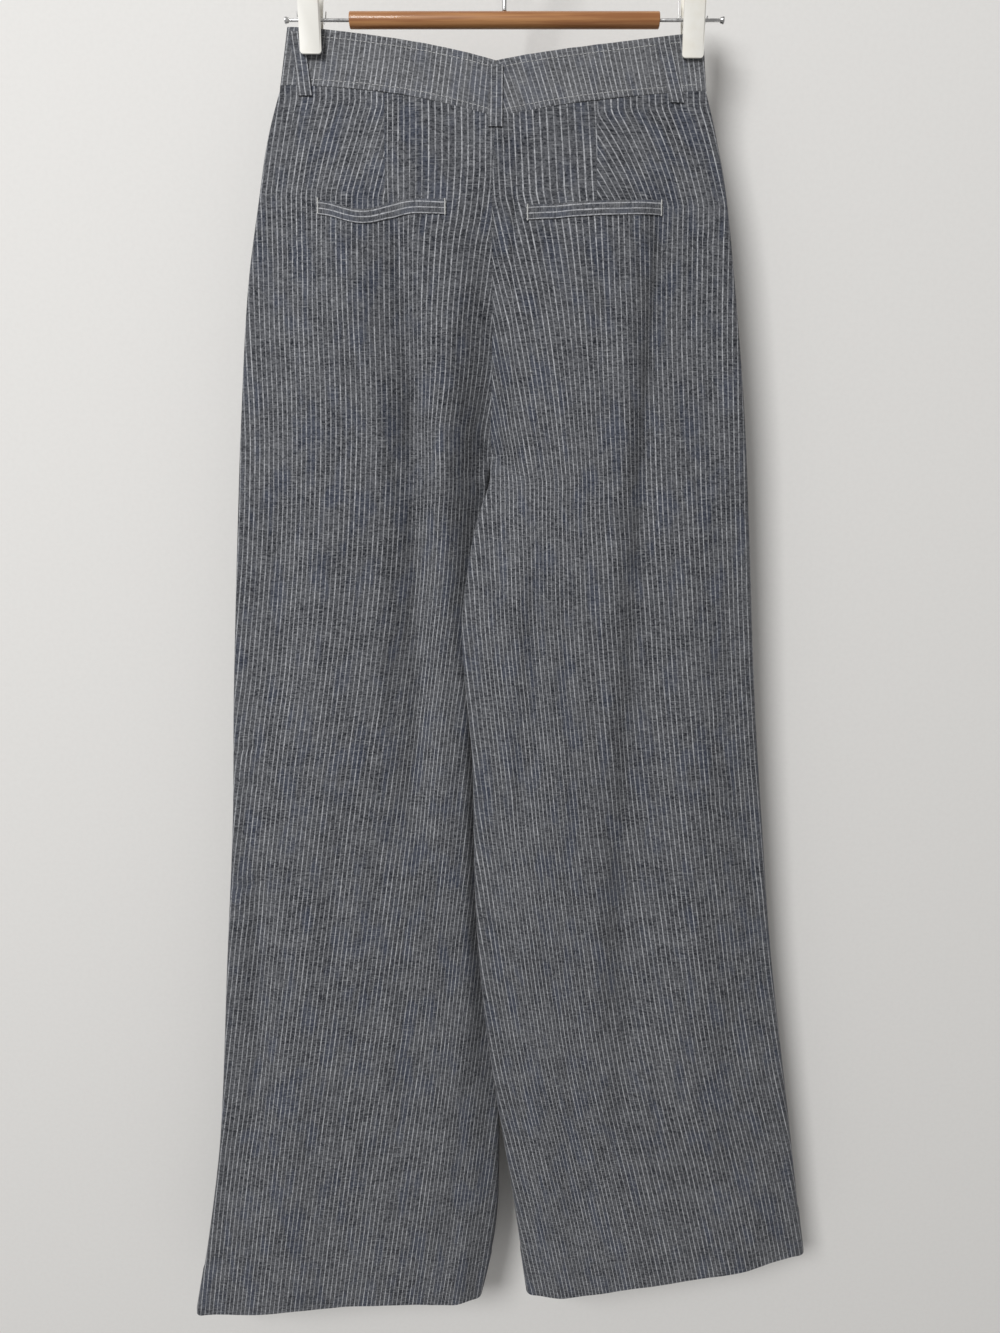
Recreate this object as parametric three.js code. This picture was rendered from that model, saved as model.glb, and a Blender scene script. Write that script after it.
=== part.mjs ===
// Wide-legged linen trousers hanging by both corners of the waistband from a bar hanger.
// Millimetres, +Z up, +X to the right as seen from behind the trousers, +Y from their back to
// their front. The origin is the inside top of the hanger's hook, where a rail would carry it.
// The cloth hangs as two flat tubes: each leg is a back and a front panel, 0.3 mm apart at
// every seam, and each panel is a thin wall over a grid of points worked out from the tables.

import * as THREE from "three";

const CLOTH = 1.6; // thickness of a panel's wall
const BAND_CLOTH = 2; // the waistband is two layers and an interlining
const STRIP_CLOTH = 1; // belt loops, welts and the fly's lap
const SEAM_GAP = 0.3;
const HALF_GAP = SEAM_GAP / 2;
const LAID_ON = 0.5; // a strip's clearance over the cloth that it lies on

const BACK = -1;
const FRONT = 1;
const LEFT = -1;
const RIGHT = 1;

const PANEL_COLUMNS = 22;
const EDGE_CROWDING = 0.7; // how much closer a panel's columns are near its seams
const NOSE = 5; // radius of the soft fold at an outseam or inseam

// The waistband's top edge: its two ends, pinched in the clips, and its dip at the centre back.
const BAND = {
  height: 41,
  leftX: -166,
  leftZ: -95,
  rightX: 152,
  rightZ: -99,
  centreX: -6.5,
  centreZ: -122,
  leftPower: 1.6,
  rightPower: 1.3,
  frontSag: 6, // the front edge hangs this much lower at its middle
  leftFlare: 7, // how much further out its lower edge is at each side
  rightFlare: 4,
  sideFold: 1, // inner radius of the fold at each side
  topArch: 10, // how far the top edge stands off the middle plane at the centre
  pinched: 31, // the flat stretch at each side, held in a clip
  turn: 125,
  lapLength: 30, // the right half's end laps over the left one at the centre front
  lapRise: 2.6,
  lapFrom: 22, // it starts to climb over the left one this far before the centre
  lapFull: 3,
  columns: 12,
};

// Outseams: where each side's edge hangs, and how far it swings forwards (+) or back (-).
const SIDES = [
  { z: -139, leftX: -174, leftY: 0, rightX: 156, rightY: 0 },
  { z: -178, leftX: -185, leftY: 0, rightX: 166, rightY: 0 },
  { z: -213, leftX: -192, leftY: 0, rightX: 174, rightY: 0 },
  { z: -285, leftX: -205, leftY: 0, rightX: 185, rightY: 1 },
  { z: -379, leftX: -215, leftY: 0, rightX: 197, rightY: 2 },
  { z: -460, leftX: -222, leftY: 0, rightX: 205, rightY: 4 },
  { z: -623, leftX: -234, leftY: -1, rightX: 219, rightY: 7 },
  { z: -733, leftX: -240, leftY: -3, rightX: 231, rightY: 9 },
  { z: -873, leftX: -252, leftY: -5, rightX: 248, rightY: 12 },
  { z: -1047, leftX: -267, leftY: -7, rightX: 275, rightY: 14 },
  { z: -1152, leftX: -283, leftY: -8, rightX: 291, rightY: 15 },
  { z: -1240, leftX: -300, leftY: -8, rightX: 305, rightY: 15 },
];

// Half depth of the cloth, and how far in from an outseam it takes to reach it.
const DEPTHS = [
  { z: -139, back: 15, front: 14, turn: 150, nose: 0 },
  { z: -213, back: 19, front: 20, turn: 115, nose: 3 },
  { z: -300, back: 20, front: 23, turn: 95, nose: NOSE },
  { z: -418, back: 20, front: 24, turn: 90, nose: NOSE },
  { z: -620, back: 18, front: 22, turn: 85, nose: NOSE },
  { z: -900, back: 16, front: 20, turn: 80, nose: NOSE },
  { z: -1240, back: 15, front: 19, turn: 75, nose: NOSE },
];

// Centre back and centre front seams, from the waistband down to the crotch.
const CENTRE_SEAM = [
  { z: -161, x: -6.5, back: -15, front: 14, leftTurn: 30, rightTurn: 20 },
  { z: -200, x: -9, back: -18, front: 18, leftTurn: 32, rightTurn: 20 },
  { z: -250, x: -10, back: -14, front: 21, leftTurn: 36, rightTurn: 21 },
  { z: -300, x: -9.5, back: -7, front: 22, leftTurn: 38, rightTurn: 22 },
  { z: -350, x: -10, back: 0, front: 20, leftTurn: 40, rightTurn: 23 },
  { z: -390, x: -11, back: 6, front: 15, leftTurn: 40, rightTurn: 26 },
  { z: -418, x: -11, back: 10, front: 10, leftTurn: 40, rightTurn: 30 },
];

// Inseams from the crotch down: the right leg swings in front of the left one.
// backTurn and frontTurn: how far the cloth takes to turn away from each face to the seam.
const LEFT_INSEAM = [
  { z: -418, x: -11, y: 10, backTurn: 40, frontTurn: 40 },
  { z: -440, x: -14, y: 11, backTurn: 40, frontTurn: 38 },
  { z: -540, x: -15, y: 13, backTurn: 34, frontTurn: 34 },
  { z: -640, x: -20, y: 14, backTurn: 17, frontTurn: 30 },
  { z: -850, x: -19, y: 14, backTurn: 17, frontTurn: 30 },
  { z: -930, x: -11, y: 13, backTurn: 26, frontTurn: 34 },
  { z: -1000, x: -6, y: 12, backTurn: 40, frontTurn: 40 },
  { z: -1110, x: -6, y: 9, backTurn: 40, frontTurn: 40 },
  { z: -1160, x: -9, y: 8, backTurn: 36, frontTurn: 38 },
  { z: -1200, x: -16, y: 7, backTurn: 30, frontTurn: 34 },
  { z: -1240, x: -25, y: 6, backTurn: 26, frontTurn: 30 },
];
const RIGHT_INSEAM = [
  { z: -418, x: -11, y: 10, backTurn: 30, frontTurn: 60 },
  { z: -440, x: -11, y: -4, backTurn: 34, frontTurn: 70 },
  { z: -470, x: -21, y: -15, backTurn: 40, frontTurn: 78 },
  { z: -505, x: -28, y: -20, backTurn: 45, frontTurn: 80 },
  { z: -552, x: -34, y: -22, backTurn: 50, frontTurn: 80 },
  { z: -600, x: -32, y: -22, backTurn: 50, frontTurn: 80 },
  { z: -673, x: -26, y: -22, backTurn: 50, frontTurn: 80 },
  { z: -800, x: -24, y: -20, backTurn: 50, frontTurn: 80 },
  { z: -897, x: -18, y: -18, backTurn: 50, frontTurn: 75 },
  { z: -998, x: -6, y: -15, backTurn: 45, frontTurn: 65 },
  { z: -1092, x: 8, y: -12, backTurn: 40, frontTurn: 50 },
  { z: -1220, x: 25, y: -10, backTurn: 36, frontTurn: 44 },
];

const CROTCH_Z = -418;
const NOSE_START = -440; // an inseam's fold is fully round from here down
const LEAN_END = -540; // and each leg has taken up its lean by here

// Hems: the height of each end and of the middle, and where the slant towards them begins.
const HEMS = {
  left: { outer: -1243, middle: -1230, inner: -1236, start: -900 },
  right: { outer: -1194, middle: -1206, inner: -1217, start: -900 },
};
const HEM_LEVEL = -1240;
const WAIST_DIP_END = -330; // the rows lose the waist seam's dip by here

// Rows of each panel above its hem, as levels at the outseam.
const ROWS = [
  -139, -165, -195, -230, -265, -300, -335, -365, -392, -418, -440, -470, -505, -550,
  -600, -660, -730, -800, -870, -940, -1000, -1060, -1120, -1175,
];

// Each panel's wall is cut across into bands, so that its collision can follow its curves.
const BANDS = [
  { name: "seat", first: 0, last: 5 },
  { name: "rise", first: 5, last: 10 },
  { name: "thigh", first: 10, last: 15 },
  { name: "knee", first: 15, last: 18 },
  { name: "calf", first: 18, last: 21 },
  { name: "hem", first: 21, last: 24 },
];

// Soft folds: each is a trough whose line runs from xTop to xBottom, bowed sideways in the
// middle, as deep as it says, and as wide on its left and right.
const FOLDS = [
  {
    face: BACK, top: -165, bottom: -1010, xTop: 130, xBottom: 106,
    bow: -5, depth: 11, left: 25, right: 75,
  },
  {
    face: BACK, top: -190, bottom: -450, xTop: -98, xBottom: -70,
    bow: 4, depth: 8, left: 34, right: 24,
  },
  {
    face: BACK, top: -330, bottom: -800, xTop: -72, xBottom: -78,
    bow: 0, depth: 8, left: 32, right: 24,
  },
  {
    face: BACK, top: -410, bottom: -660, xTop: -188, xBottom: -192,
    bow: 2, depth: 3, left: 18, right: 34,
  },
  {
    face: BACK, top: -760, bottom: -1090, xTop: -222, xBottom: -236,
    bow: 4, depth: 6, left: 26, right: 24,
  },
  {
    face: BACK, top: -470, bottom: -760, xTop: 24, xBottom: 16,
    bow: 4, depth: 4, left: 18, right: 26,
  },
  {
    face: FRONT, top: -190, bottom: -980, xTop: -112, xBottom: -122,
    bow: 6, depth: 9, left: 60, right: 26,
  },
  {
    face: FRONT, top: -260, bottom: -820, xTop: -52, xBottom: -64,
    bow: 4, depth: 6, left: 24, right: 26,
  },
  {
    face: FRONT, top: -200, bottom: -1050, xTop: 96, xBottom: 118,
    bow: 5, depth: 10, left: 26, right: 62,
  },
  {
    face: FRONT, top: -560, bottom: -1000, xTop: 200, xBottom: 222,
    bow: 0, depth: 5, left: 30, right: 26,
  },
];
const FOLD_FADE = 0.22; // the share of a fold's length over which each end fades
const FOLD_CLEAR = 30; // folds flatten out this close to a seam

const WELTS = {
  left: { from: -147, to: -45, startZ: -226, endZ: -229, sag: 6.5 },
  right: { from: 17, to: 124, startZ: -233, endZ: -227, sag: 0 },
};
const WELT_HEIGHT = 10.7;
const WELT_COLUMNS = 10;

const LOOP_WIDTH = 10.8;
const LOOP_TUCK = 3.5; // a loop's top is sewn this much under the waistband's edge
const LOOP_SLACK = 0.9;
const LOOP_BELOW = 8; // and its foot is sewn this much under the waist seam
const LOOP_ROWS = 8;
const LOOPS = [
  { name: "belt_loop_centre_back", face: BACK, topX: -6.5, footX: -7 },
  { name: "belt_loop_back_left", face: BACK, topX: -160, footX: -154.5 },
  { name: "belt_loop_back_right", face: BACK, topX: 122, footX: 134 },
  { name: "belt_loop_front_left", face: FRONT, topX: -92, footX: -96 },
  { name: "belt_loop_front_right", face: FRONT, topX: 86, footX: 92 },
];

const FLY = {
  freeEdge: -6,
  width: 34,
  narrowest: 4,
  top: -172,
  curve: -285,
  bottom: -318,
  columns: 4,
  rows: 8,
};
const BUTTON = { radius: 9, thickness: 3, dish: 1, fromCentre: -15, below: 19 };

const BAR = { z: -90, radius: 6, halfLength: 119 };
const ROD = { radius: 1.3, length: 46 };
const END_CAP = { neck: 1.8, rim: 2.6, length: 3.2 };
const CLIP = { width: 16.5, thickness: 1.8, corner: 2.5, top: -64, bendFrom: -95, spread: 6 };
const CLIPS = [
  { side: "left", x: -148.5, bottom: -116, backY: 5.8, frontY: 3.4 },
  { side: "right", x: 145, bottom: -118, backY: 3.4, frontY: 3.4 },
];
const SPRING = { inner: 1.7, outer: 3, length: 9 };
const HOOK = {
  wire: 1.75,
  inside: 20,
  stemTop: -58,
  startAngle: -38,
  tipAngle: 205,
  turns: 12,
  steps: 44,
};

const COLOURS = {
  cloth: { color: 0x8a8f98, roughness: 0.92, metalness: 0 },
  band: { color: 0x9297a0, roughness: 0.92, metalness: 0 },
  trim: { color: 0x9ba0a8, roughness: 0.9, metalness: 0 },
  button: { color: 0x4a4f58, roughness: 0.45, metalness: 0 },
  wood: { color: 0xa87b4f, roughness: 0.55, metalness: 0 },
  steel: { color: 0xb9bbbd, roughness: 0.3, metalness: 1 },
  plastic: { color: 0xeeebe5, roughness: 0.45, metalness: 0 },
};

const clamp01 = (v) => Math.min(1, Math.max(0, v));
const lerp = (a, b, f) => a + (b - a) * f;
const smooth = (v) => clamp01(v) ** 2 * (3 - 2 * clamp01(v));
const share = (value, from, to) => clamp01((value - from) / (to - from));

// A column of a table at height z, eased between its rows, which run from top to bottom.
function at(table, z, column) {
  const last = table.length - 1;
  let i = table.findIndex((row) => row.z <= z);
  if (i === 0) return table[0][column];
  if (i < 0) return table[last][column];
  const slope = (k) => {
    const a = table[Math.max(0, k - 1)];
    const b = table[Math.min(last, k + 1)];
    return (b[column] - a[column]) / (b.z - a.z);
  };
  const [p, q] = [table[i - 1], table[i]];
  const step = q.z - p.z;
  const f = (z - p.z) / step;
  const bend = f * (1 - f) * step * (slope(i - 1) * (1 - f) - slope(i) * f);
  return p[column] * (1 + 2 * f) * (1 - f) ** 2 + q[column] * (3 - 2 * f) * f ** 2 + bend;
}

// How far a face has turned away towards a seam, from 1 at the seam to 0.
const softTurn = (distance, width) => 1 - smooth(distance / width);
function noseTurn(distance) {
  const q = clamp01(distance / NOSE);
  return 1 - Math.sqrt(1 - (1 - q) ** 2);
}
function turnBack(distance, rise, width, nose) {
  const round = Math.min(Math.abs(rise), nose) * Math.sign(rise);
  return round * noseTurn(distance) + (rise - round) * softTurn(distance, width);
}

// The depth that the folds of one face add at (x, z), inwards.
function foldDepth(face, x, z) {
  let depth = 0;
  for (const fold of FOLDS) {
    if (fold.face !== face || z > fold.top || z < fold.bottom) continue;
    const f = share(z, fold.top, fold.bottom);
    const line = lerp(fold.xTop, fold.xBottom, f) + fold.bow * 4 * f * (1 - f);
    const width = x < line ? fold.left : fold.right;
    const reach = clamp01(Math.abs(x - line) / width);
    const fade = smooth(f / FOLD_FADE) * smooth((1 - f) / FOLD_FADE);
    depth += (fold.depth * fade * (1 + Math.cos(Math.PI * reach))) / 2;
  }
  return depth;
}

// Top edge of the waistband, on the back and the front.
function bandTop(face, x) {
  const leftwards = x < BAND.centreX;
  const endX = leftwards ? BAND.leftX : BAND.rightX;
  const endZ = leftwards ? BAND.leftZ : BAND.rightZ;
  const power = leftwards ? BAND.leftPower : BAND.rightPower;
  const f = share(x, endX, BAND.centreX);
  const sag = face === FRONT ? BAND.frontSag * smooth(f) : 0;
  return endZ + (BAND.centreZ - endZ) * f ** power - sag;
}

// The waist seam's height above its level at the sides, on one face.
const waistDip = (face, x) => bandTop(face, x) - BAND.height - SEAM_GAP - ROWS[0];

// Height of a row's point: rows follow the waist seam at the top and the hem at the bottom.
function heightAt(side, face, x, t, level) {
  const hem = side === LEFT ? HEMS.left : HEMS.right;
  const ends = hem.outer * (1 - t) * (1 - 2 * t) + hem.inner * t * (2 * t - 1);
  const slant = ends + hem.middle * 4 * t * (1 - t);
  const nearWaist = 1 - smooth(share(level, ROWS[0], WAIST_DIP_END));
  const nearHem = smooth(share(level, hem.start, HEM_LEVEL));
  return level + waistDip(face, x) * nearWaist + (slant - HEM_LEVEL) * nearHem;
}

// The inner side of a panel: t runs from the outseam to the centre seam or inseam.
function panelPoint(side, face, t, level) {
  const key = side === LEFT ? "left" : "right";
  const faceKey = face === BACK ? "back" : "front";
  const inseam = side === LEFT ? LEFT_INSEAM : RIGHT_INSEAM;
  const sideX = side === LEFT ? BAND.leftX : BAND.rightX;
  const outerZ = heightAt(side, face, sideX, 0, level);
  const innerZ = heightAt(side, face, BAND.centreX, 1, level);
  const joined = innerZ > CROTCH_Z + 0.01;
  const outerX = at(SIDES, outerZ, key + "X");
  const innerX = joined ? at(CENTRE_SEAM, innerZ, "x") : at(inseam, innerZ, "x");
  const seamY = joined ? at(CENTRE_SEAM, innerZ, faceKey) : at(inseam, innerZ, "y");
  const lean = joined ? 0 : at(inseam, innerZ, "y") * smooth(share(innerZ, CROTCH_Z, LEAN_END));
  const depth = at(DEPTHS, outerZ, faceKey);
  const seamTurn = joined ? at(CENTRE_SEAM, innerZ, key + "Turn") : 0;
  const innerTurn = joined ? seamTurn : at(inseam, innerZ, faceKey + "Turn");
  const innerNose = joined ? 0 : NOSE * share(innerZ, CROTCH_Z, NOSE_START);
  const x = lerp(outerX, innerX + side * HALF_GAP, t);
  const fromOuter = Math.abs(x - outerX);
  const fromInner = Math.abs(x - innerX);
  const outer = turnBack(fromOuter, depth, at(DEPTHS, outerZ, "turn"), at(DEPTHS, outerZ, "nose"));
  const inner = turnBack(fromInner, depth + face * (lean - seamY), innerTurn, innerNose);
  const clear = smooth(fromOuter / FOLD_CLEAR) * smooth(fromInner / FOLD_CLEAR);
  const z = heightAt(side, face, x, t, level);
  const y = lerp(at(SIDES, outerZ, key + "Y"), lean, t);
  const reach = depth - outer - inner - foldDepth(face, x, z) * clear;
  return new THREE.Vector3(x, y + face * (reach + HALF_GAP), z);
}

// Outward normals of a grid of points that run from row to row and along each row.
function gridNormals(grid, outward) {
  const rows = grid.length;
  const columns = grid[0].length;
  return grid.map((row, i) =>
    row.map((_, j) => {
      const down = grid[Math.min(rows - 1, i + 1)][j].clone().sub(grid[Math.max(0, i - 1)][j]);
      const along = grid[i][Math.min(columns - 1, j + 1)].clone().sub(grid[i][Math.max(0, j - 1)]);
      const normal = down.cross(along).multiplyScalar(outward);
      if (i === 0 || i === rows - 1) normal.z = 0;
      return normal.normalize();
    }),
  );
}

// A closed wall between two grids of points, with its faces pointing out.
function wallGeometry(outer, inner) {
  const rows = outer.length;
  const columns = outer[0].length;
  const points = [...outer.flat(), ...inner.flat()];
  const far = rows * columns;
  const index = [];
  const quad = (a, b, c, d) => index.push(a, b, c, a, c, d);
  for (let i = 0; i < rows - 1; i++) {
    for (let j = 0; j < columns - 1; j++) {
      const a = i * columns + j;
      quad(a, a + columns, a + columns + 1, a + 1);
      quad(far + a, far + a + 1, far + a + columns + 1, far + a + columns);
    }
    const start = i * columns;
    const end = start + columns - 1;
    quad(start, far + start, far + start + columns, start + columns);
    quad(end, end + columns, far + end + columns, far + end);
  }
  for (let j = 0; j < columns - 1; j++) {
    const low = (rows - 1) * columns + j;
    quad(j, j + 1, far + j + 1, far + j);
    quad(low, far + low, far + low + 1, low + 1);
  }
  if (signedVolume(points, index) < 0) index.reverse();
  const geometry = new THREE.BufferGeometry().setFromPoints(points);
  geometry.setIndex(index);
  geometry.computeVertexNormals();
  return geometry;
}

function signedVolume(points, index) {
  let volume = 0;
  for (let k = 0; k < index.length; k += 3) {
    const [a, b, c] = [points[index[k]], points[index[k + 1]], points[index[k + 2]]];
    volume += a.dot(b.clone().cross(c)) / 6;
  }
  return volume;
}

function mesh(name, geometry, finish) {
  const made = new THREE.Mesh(geometry, new THREE.MeshStandardMaterial(COLOURS[finish]));
  made.name = name;
  return made;
}

const outerGrid = (grid, normals, thickness) =>
  grid.map((row, i) => row.map((p, j) => p.clone().addScaledVector(normals[i][j], thickness)));

// Outer grids of the cloth, which belt loops, welts and the fly's lap are laid on.
const laidUnder = [];

function panel(side, face) {
  const grid = [...ROWS, HEM_LEVEL].map((level) =>
    Array.from({ length: PANEL_COLUMNS + 1 }, (_, j) => {
      const u = j / PANEL_COLUMNS;
      const t = u - (EDGE_CROWDING * Math.sin(2 * Math.PI * u)) / (2 * Math.PI);
      return panelPoint(side, face, t, level);
    }),
  );
  const normals = gridNormals(grid, side * face);
  for (const { first } of BANDS) for (const normal of normals[first]) normal.setZ(0).normalize();
  keepClearOfSeams(grid, normals, side, face);
  const outer = outerGrid(grid, normals, CLOTH);
  laidUnder.push({ face, grid: outer });
  const name = `panel_${face === BACK ? "back" : "front"}_${side === LEFT ? "left" : "right"}`;
  return BANDS.map((band) => {
    const walls = [outer, grid].map((wall) => bandRows(wall, band));
    return mesh(`${name}_${band.name}`, wallGeometry(...walls), "cloth");
  });
}

// The rows of one band, which starts a seam's gap under the band above it.
function bandRows(wall, { first, last }) {
  const drop = first > 0 ? SEAM_GAP : 0;
  const start = wall[first].map((p) => p.clone().setZ(p.z - drop));
  return [start, ...wall.slice(first + 1, last + 1)];
}

// Moves a panel's edges so that the wall's thickness doesn't lean over its seams.
function keepClearOfSeams(grid, normals, side, face) {
  grid.forEach((row, i) => {
    const [first, last] = [row[0], row[row.length - 1]];
    const [firstNormal, lastNormal] = [normals[i][0], normals[i][row.length - 1]];
    first.y += face * CLOTH * Math.max(0, -face * firstNormal.y);
    if (last.z > CROTCH_Z - 1) last.x += side * CLOTH * Math.max(0, -side * lastNormal.x);
    else last.y += face * CLOTH * Math.max(0, -face * lastNormal.y);
  });
}

// The inner side of the waistband, h from its top edge (0) to the waist seam (1).
function bandPoint(side, face, t, h, lap) {
  const top = side === LEFT ? BAND.leftX : BAND.rightX;
  const flare = side === LEFT ? BAND.leftFlare : BAND.rightFlare;
  const sideX = top + side * flare * h;
  const end = BAND.centreX + side * (HALF_GAP - lap);
  const x = lerp(sideX, end, t);
  const arch = lerp(BAND.topArch, DEPTHS[0].back - BAND.sideFold, h);
  const free = Math.abs(x - sideX) - BAND.pinched * (1 - h ** 2);
  const reach = BAND.sideFold + arch * smooth(free / BAND.turn);
  const climb = share(x, BAND.centreX + BAND.lapFrom, BAND.centreX + BAND.lapFull);
  const over = lap > 0 ? BAND.lapRise * smooth(climb) : 0;
  return new THREE.Vector3(x, face * (reach + over), bandTop(face, x) - h * BAND.height);
}

function waistband(side) {
  const lap = side === RIGHT ? BAND.lapLength : 0;
  const steps = Array.from({ length: BAND.columns + 1 }, (_, j) => j / BAND.columns);
  const grid = [0, 0.5, 1].map((h) => {
    const back = steps.map((s) => bandPoint(side, BACK, 1 - s, h, 0));
    const front = steps.map((s) => bandPoint(side, FRONT, s, h, lap));
    const fold = bandPoint(side, FRONT, 0, h, 0);
    fold.x += side * BAND.sideFold;
    fold.y = 0;
    return [...back, fold, ...front];
  });
  const normals = gridNormals(grid, side);
  const outer = outerGrid(grid, normals, BAND_CLOTH);
  const half = BAND.columns + 1;
  laidUnder.push({ face: BACK, grid: outer.map((row) => row.slice(0, half)) });
  laidUnder.push({ face: FRONT, grid: outer.map((row) => row.slice(half + 1)) });
  return mesh(`waistband_${side === LEFT ? "left" : "right"}`, wallGeometry(outer, grid), "band");
}

// How far out the cloth of one face lies at (x, z): the furthest of the walls there.
function clothY(face, x, z) {
  let reach = -Infinity;
  const test = (a, b, c) => {
    const area = (b.x - a.x) * (c.z - a.z) - (c.x - a.x) * (b.z - a.z);
    if (Math.abs(area) < 1e-9) return;
    const u = ((b.x - x) * (c.z - z) - (c.x - x) * (b.z - z)) / area;
    const v = ((c.x - x) * (a.z - z) - (a.x - x) * (c.z - z)) / area;
    const w = 1 - u - v;
    if (Math.min(u, v, w) < -1e-6) return;
    reach = Math.max(reach, face * (u * a.y + v * b.y + w * c.y));
  };
  for (const { face: wallFace, grid } of laidUnder) {
    if (wallFace !== face) continue;
    for (let i = 0; i < grid.length - 1; i++) {
      for (let j = 0; j < grid[0].length - 1; j++) {
        const [a, b, c, d] = [grid[i][j], grid[i + 1][j], grid[i + 1][j + 1], grid[i][j + 1]];
        test(a, b, c);
        test(a, c, d);
      }
    }
  }
  return reach;
}

// Offsets at which the cloth under a laid piece is felt for, past the gaps at seams.
const AROUND = [-3, 0, 3].flatMap((dz) => [-0.4, 0, 0.4].map((dx) => [dx, dz]));

// A flat piece laid on the cloth of one face, over a grid of [x, z] places.
function laidOn(name, face, places, lift = 0) {
  const depths = places.map((row) =>
    row.map(([x, z]) => Math.max(...AROUND.map(([dx, dz]) => clothY(face, x + dx, z + dz)))),
  );
  const inner = places.map((row, i) =>
    row.map(([x, z], j) => new THREE.Vector3(x, face * (depths[i][j] + LAID_ON + lift), z)),
  );
  const outer = inner.map((row) => row.map((p) => p.clone().setY(p.y + face * STRIP_CLOTH)));
  return mesh(name, wallGeometry(outer, inner), "trim");
}

function welt(side) {
  const w = side === LEFT ? WELTS.left : WELTS.right;
  const places = [0.5, -0.5].map((half) =>
    Array.from({ length: WELT_COLUMNS + 1 }, (_, j) => {
      const f = j / WELT_COLUMNS;
      const z = lerp(w.startZ, w.endZ, f) - w.sag * 4 * f * (1 - f);
      return [lerp(w.from, w.to, f), z + half * WELT_HEIGHT];
    }),
  );
  return laidOn(`pocket_welt_${side === LEFT ? "left" : "right"}`, BACK, places);
}

function beltLoop({ name, face, topX, footX }) {
  const top = bandTop(face, topX) - LOOP_TUCK;
  const foot = bandTop(face, footX) - BAND.height - LOOP_BELOW;
  const places = Array.from({ length: LOOP_ROWS + 1 }, (_, i) => {
    const f = i / LOOP_ROWS;
    const x = lerp(topX, footX, f);
    return [-0.5, 0.5].map((half) => [x + half * LOOP_WIDTH, lerp(top, foot, f)]);
  });
  return laidOn(name, face, places, LOOP_SLACK);
}

function flyLap() {
  const places = Array.from({ length: FLY.rows + 1 }, (_, i) => {
    const z = lerp(FLY.top, FLY.bottom, Math.sqrt(i / FLY.rows));
    const free = at(CENTRE_SEAM, z, "x") + FLY.freeEdge;
    const round = Math.sqrt(Math.max(0, 1 - share(z, FLY.curve, FLY.bottom) ** 2));
    const width = Math.max(FLY.width * round, FLY.narrowest);
    return Array.from({ length: FLY.columns + 1 }, (_, j) => {
      return [free + (width * j) / FLY.columns, z];
    });
  });
  return laidOn("fly_lap", FRONT, places);
}

function waistbandButton() {
  const { radius, thickness, dish } = BUTTON;
  const profile = [
    [0, 0],
    [radius * 0.9, 0],
    [radius, thickness * 0.4],
    [radius * 0.95, thickness * 0.9],
    [radius * 0.8, thickness],
    [radius * 0.62, thickness - dish],
    [0, thickness - dish],
  ].map(([x, y]) => new THREE.Vector2(x, y));
  const button = mesh("waistband_button", new THREE.LatheGeometry(profile, 28), "button");
  const x = BAND.centreX + BUTTON.fromCentre;
  const z = bandTop(FRONT, x) - BUTTON.below;
  const ring = [0, 60, 120, 180, 240, 300].map((angle) => THREE.MathUtils.degToRad(angle));
  const under = ring.map((a) => clothY(FRONT, x + radius * Math.cos(a), z + radius * Math.sin(a)));
  button.position.set(x, Math.max(...under) + 2 * LAID_ON, z);
  return button;
}

// A round bar along X from one end to the other.
function roundBar(name, radius, from, to, sides, finish) {
  const round = new THREE.CylinderGeometry(radius, radius, Math.abs(to - from), sides);
  const bar = mesh(name, round, finish);
  bar.rotation.z = Math.PI / 2;
  bar.position.set((from + to) / 2, 0, BAR.z);
  return bar;
}

function endCap(name, side) {
  const { neck, rim, length } = END_CAP;
  const corners = [[0, 0], [neck, 0], [rim, length * 0.7], [rim, length], [0, length]];
  const profile = corners.map(([x, y]) => new THREE.Vector2(x, y));
  const cap = mesh(name, new THREE.LatheGeometry(profile, 16), "steel");
  cap.rotation.z = (-side * Math.PI) / 2;
  cap.position.set(side * (BAR.halfLength + ROD.length + 2 * SEAM_GAP), 0, BAR.z);
  return cap;
}

// The hook: a straight stem that bends aside and then runs round over the origin.
function hook() {
  const radius = HOOK.inside + HOOK.wire;
  const on = (degrees) => {
    const a = THREE.MathUtils.degToRad(degrees);
    return new THREE.Vector3(radius * Math.cos(a), 0, radius * Math.sin(a) - HOOK.inside);
  };
  const foot = BAR.z + BAR.radius + SEAM_GAP;
  const stem = [foot, lerp(foot, HOOK.stemTop, 0.5), HOOK.stemTop];
  const points = stem.map((z) => new THREE.Vector3(0, 0, z));
  points.push(new THREE.Vector3(radius * 0.32, 0, -HOOK.inside - radius * 1.08));
  for (let i = 0; i <= HOOK.turns; i++) {
    points.push(on(lerp(HOOK.startAngle, HOOK.tipAngle, i / HOOK.turns)));
  }
  const section = new THREE.Shape().absarc(0, 0, HOOK.wire, 0, 2 * Math.PI);
  const path = new THREE.CatmullRomCurve3(points, false, "centripetal");
  const settings = { steps: HOOK.steps, extrudePath: path, curveSegments: 10 };
  return mesh("hanger_hook", new THREE.ExtrudeGeometry(section, settings), "steel");
}

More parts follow.
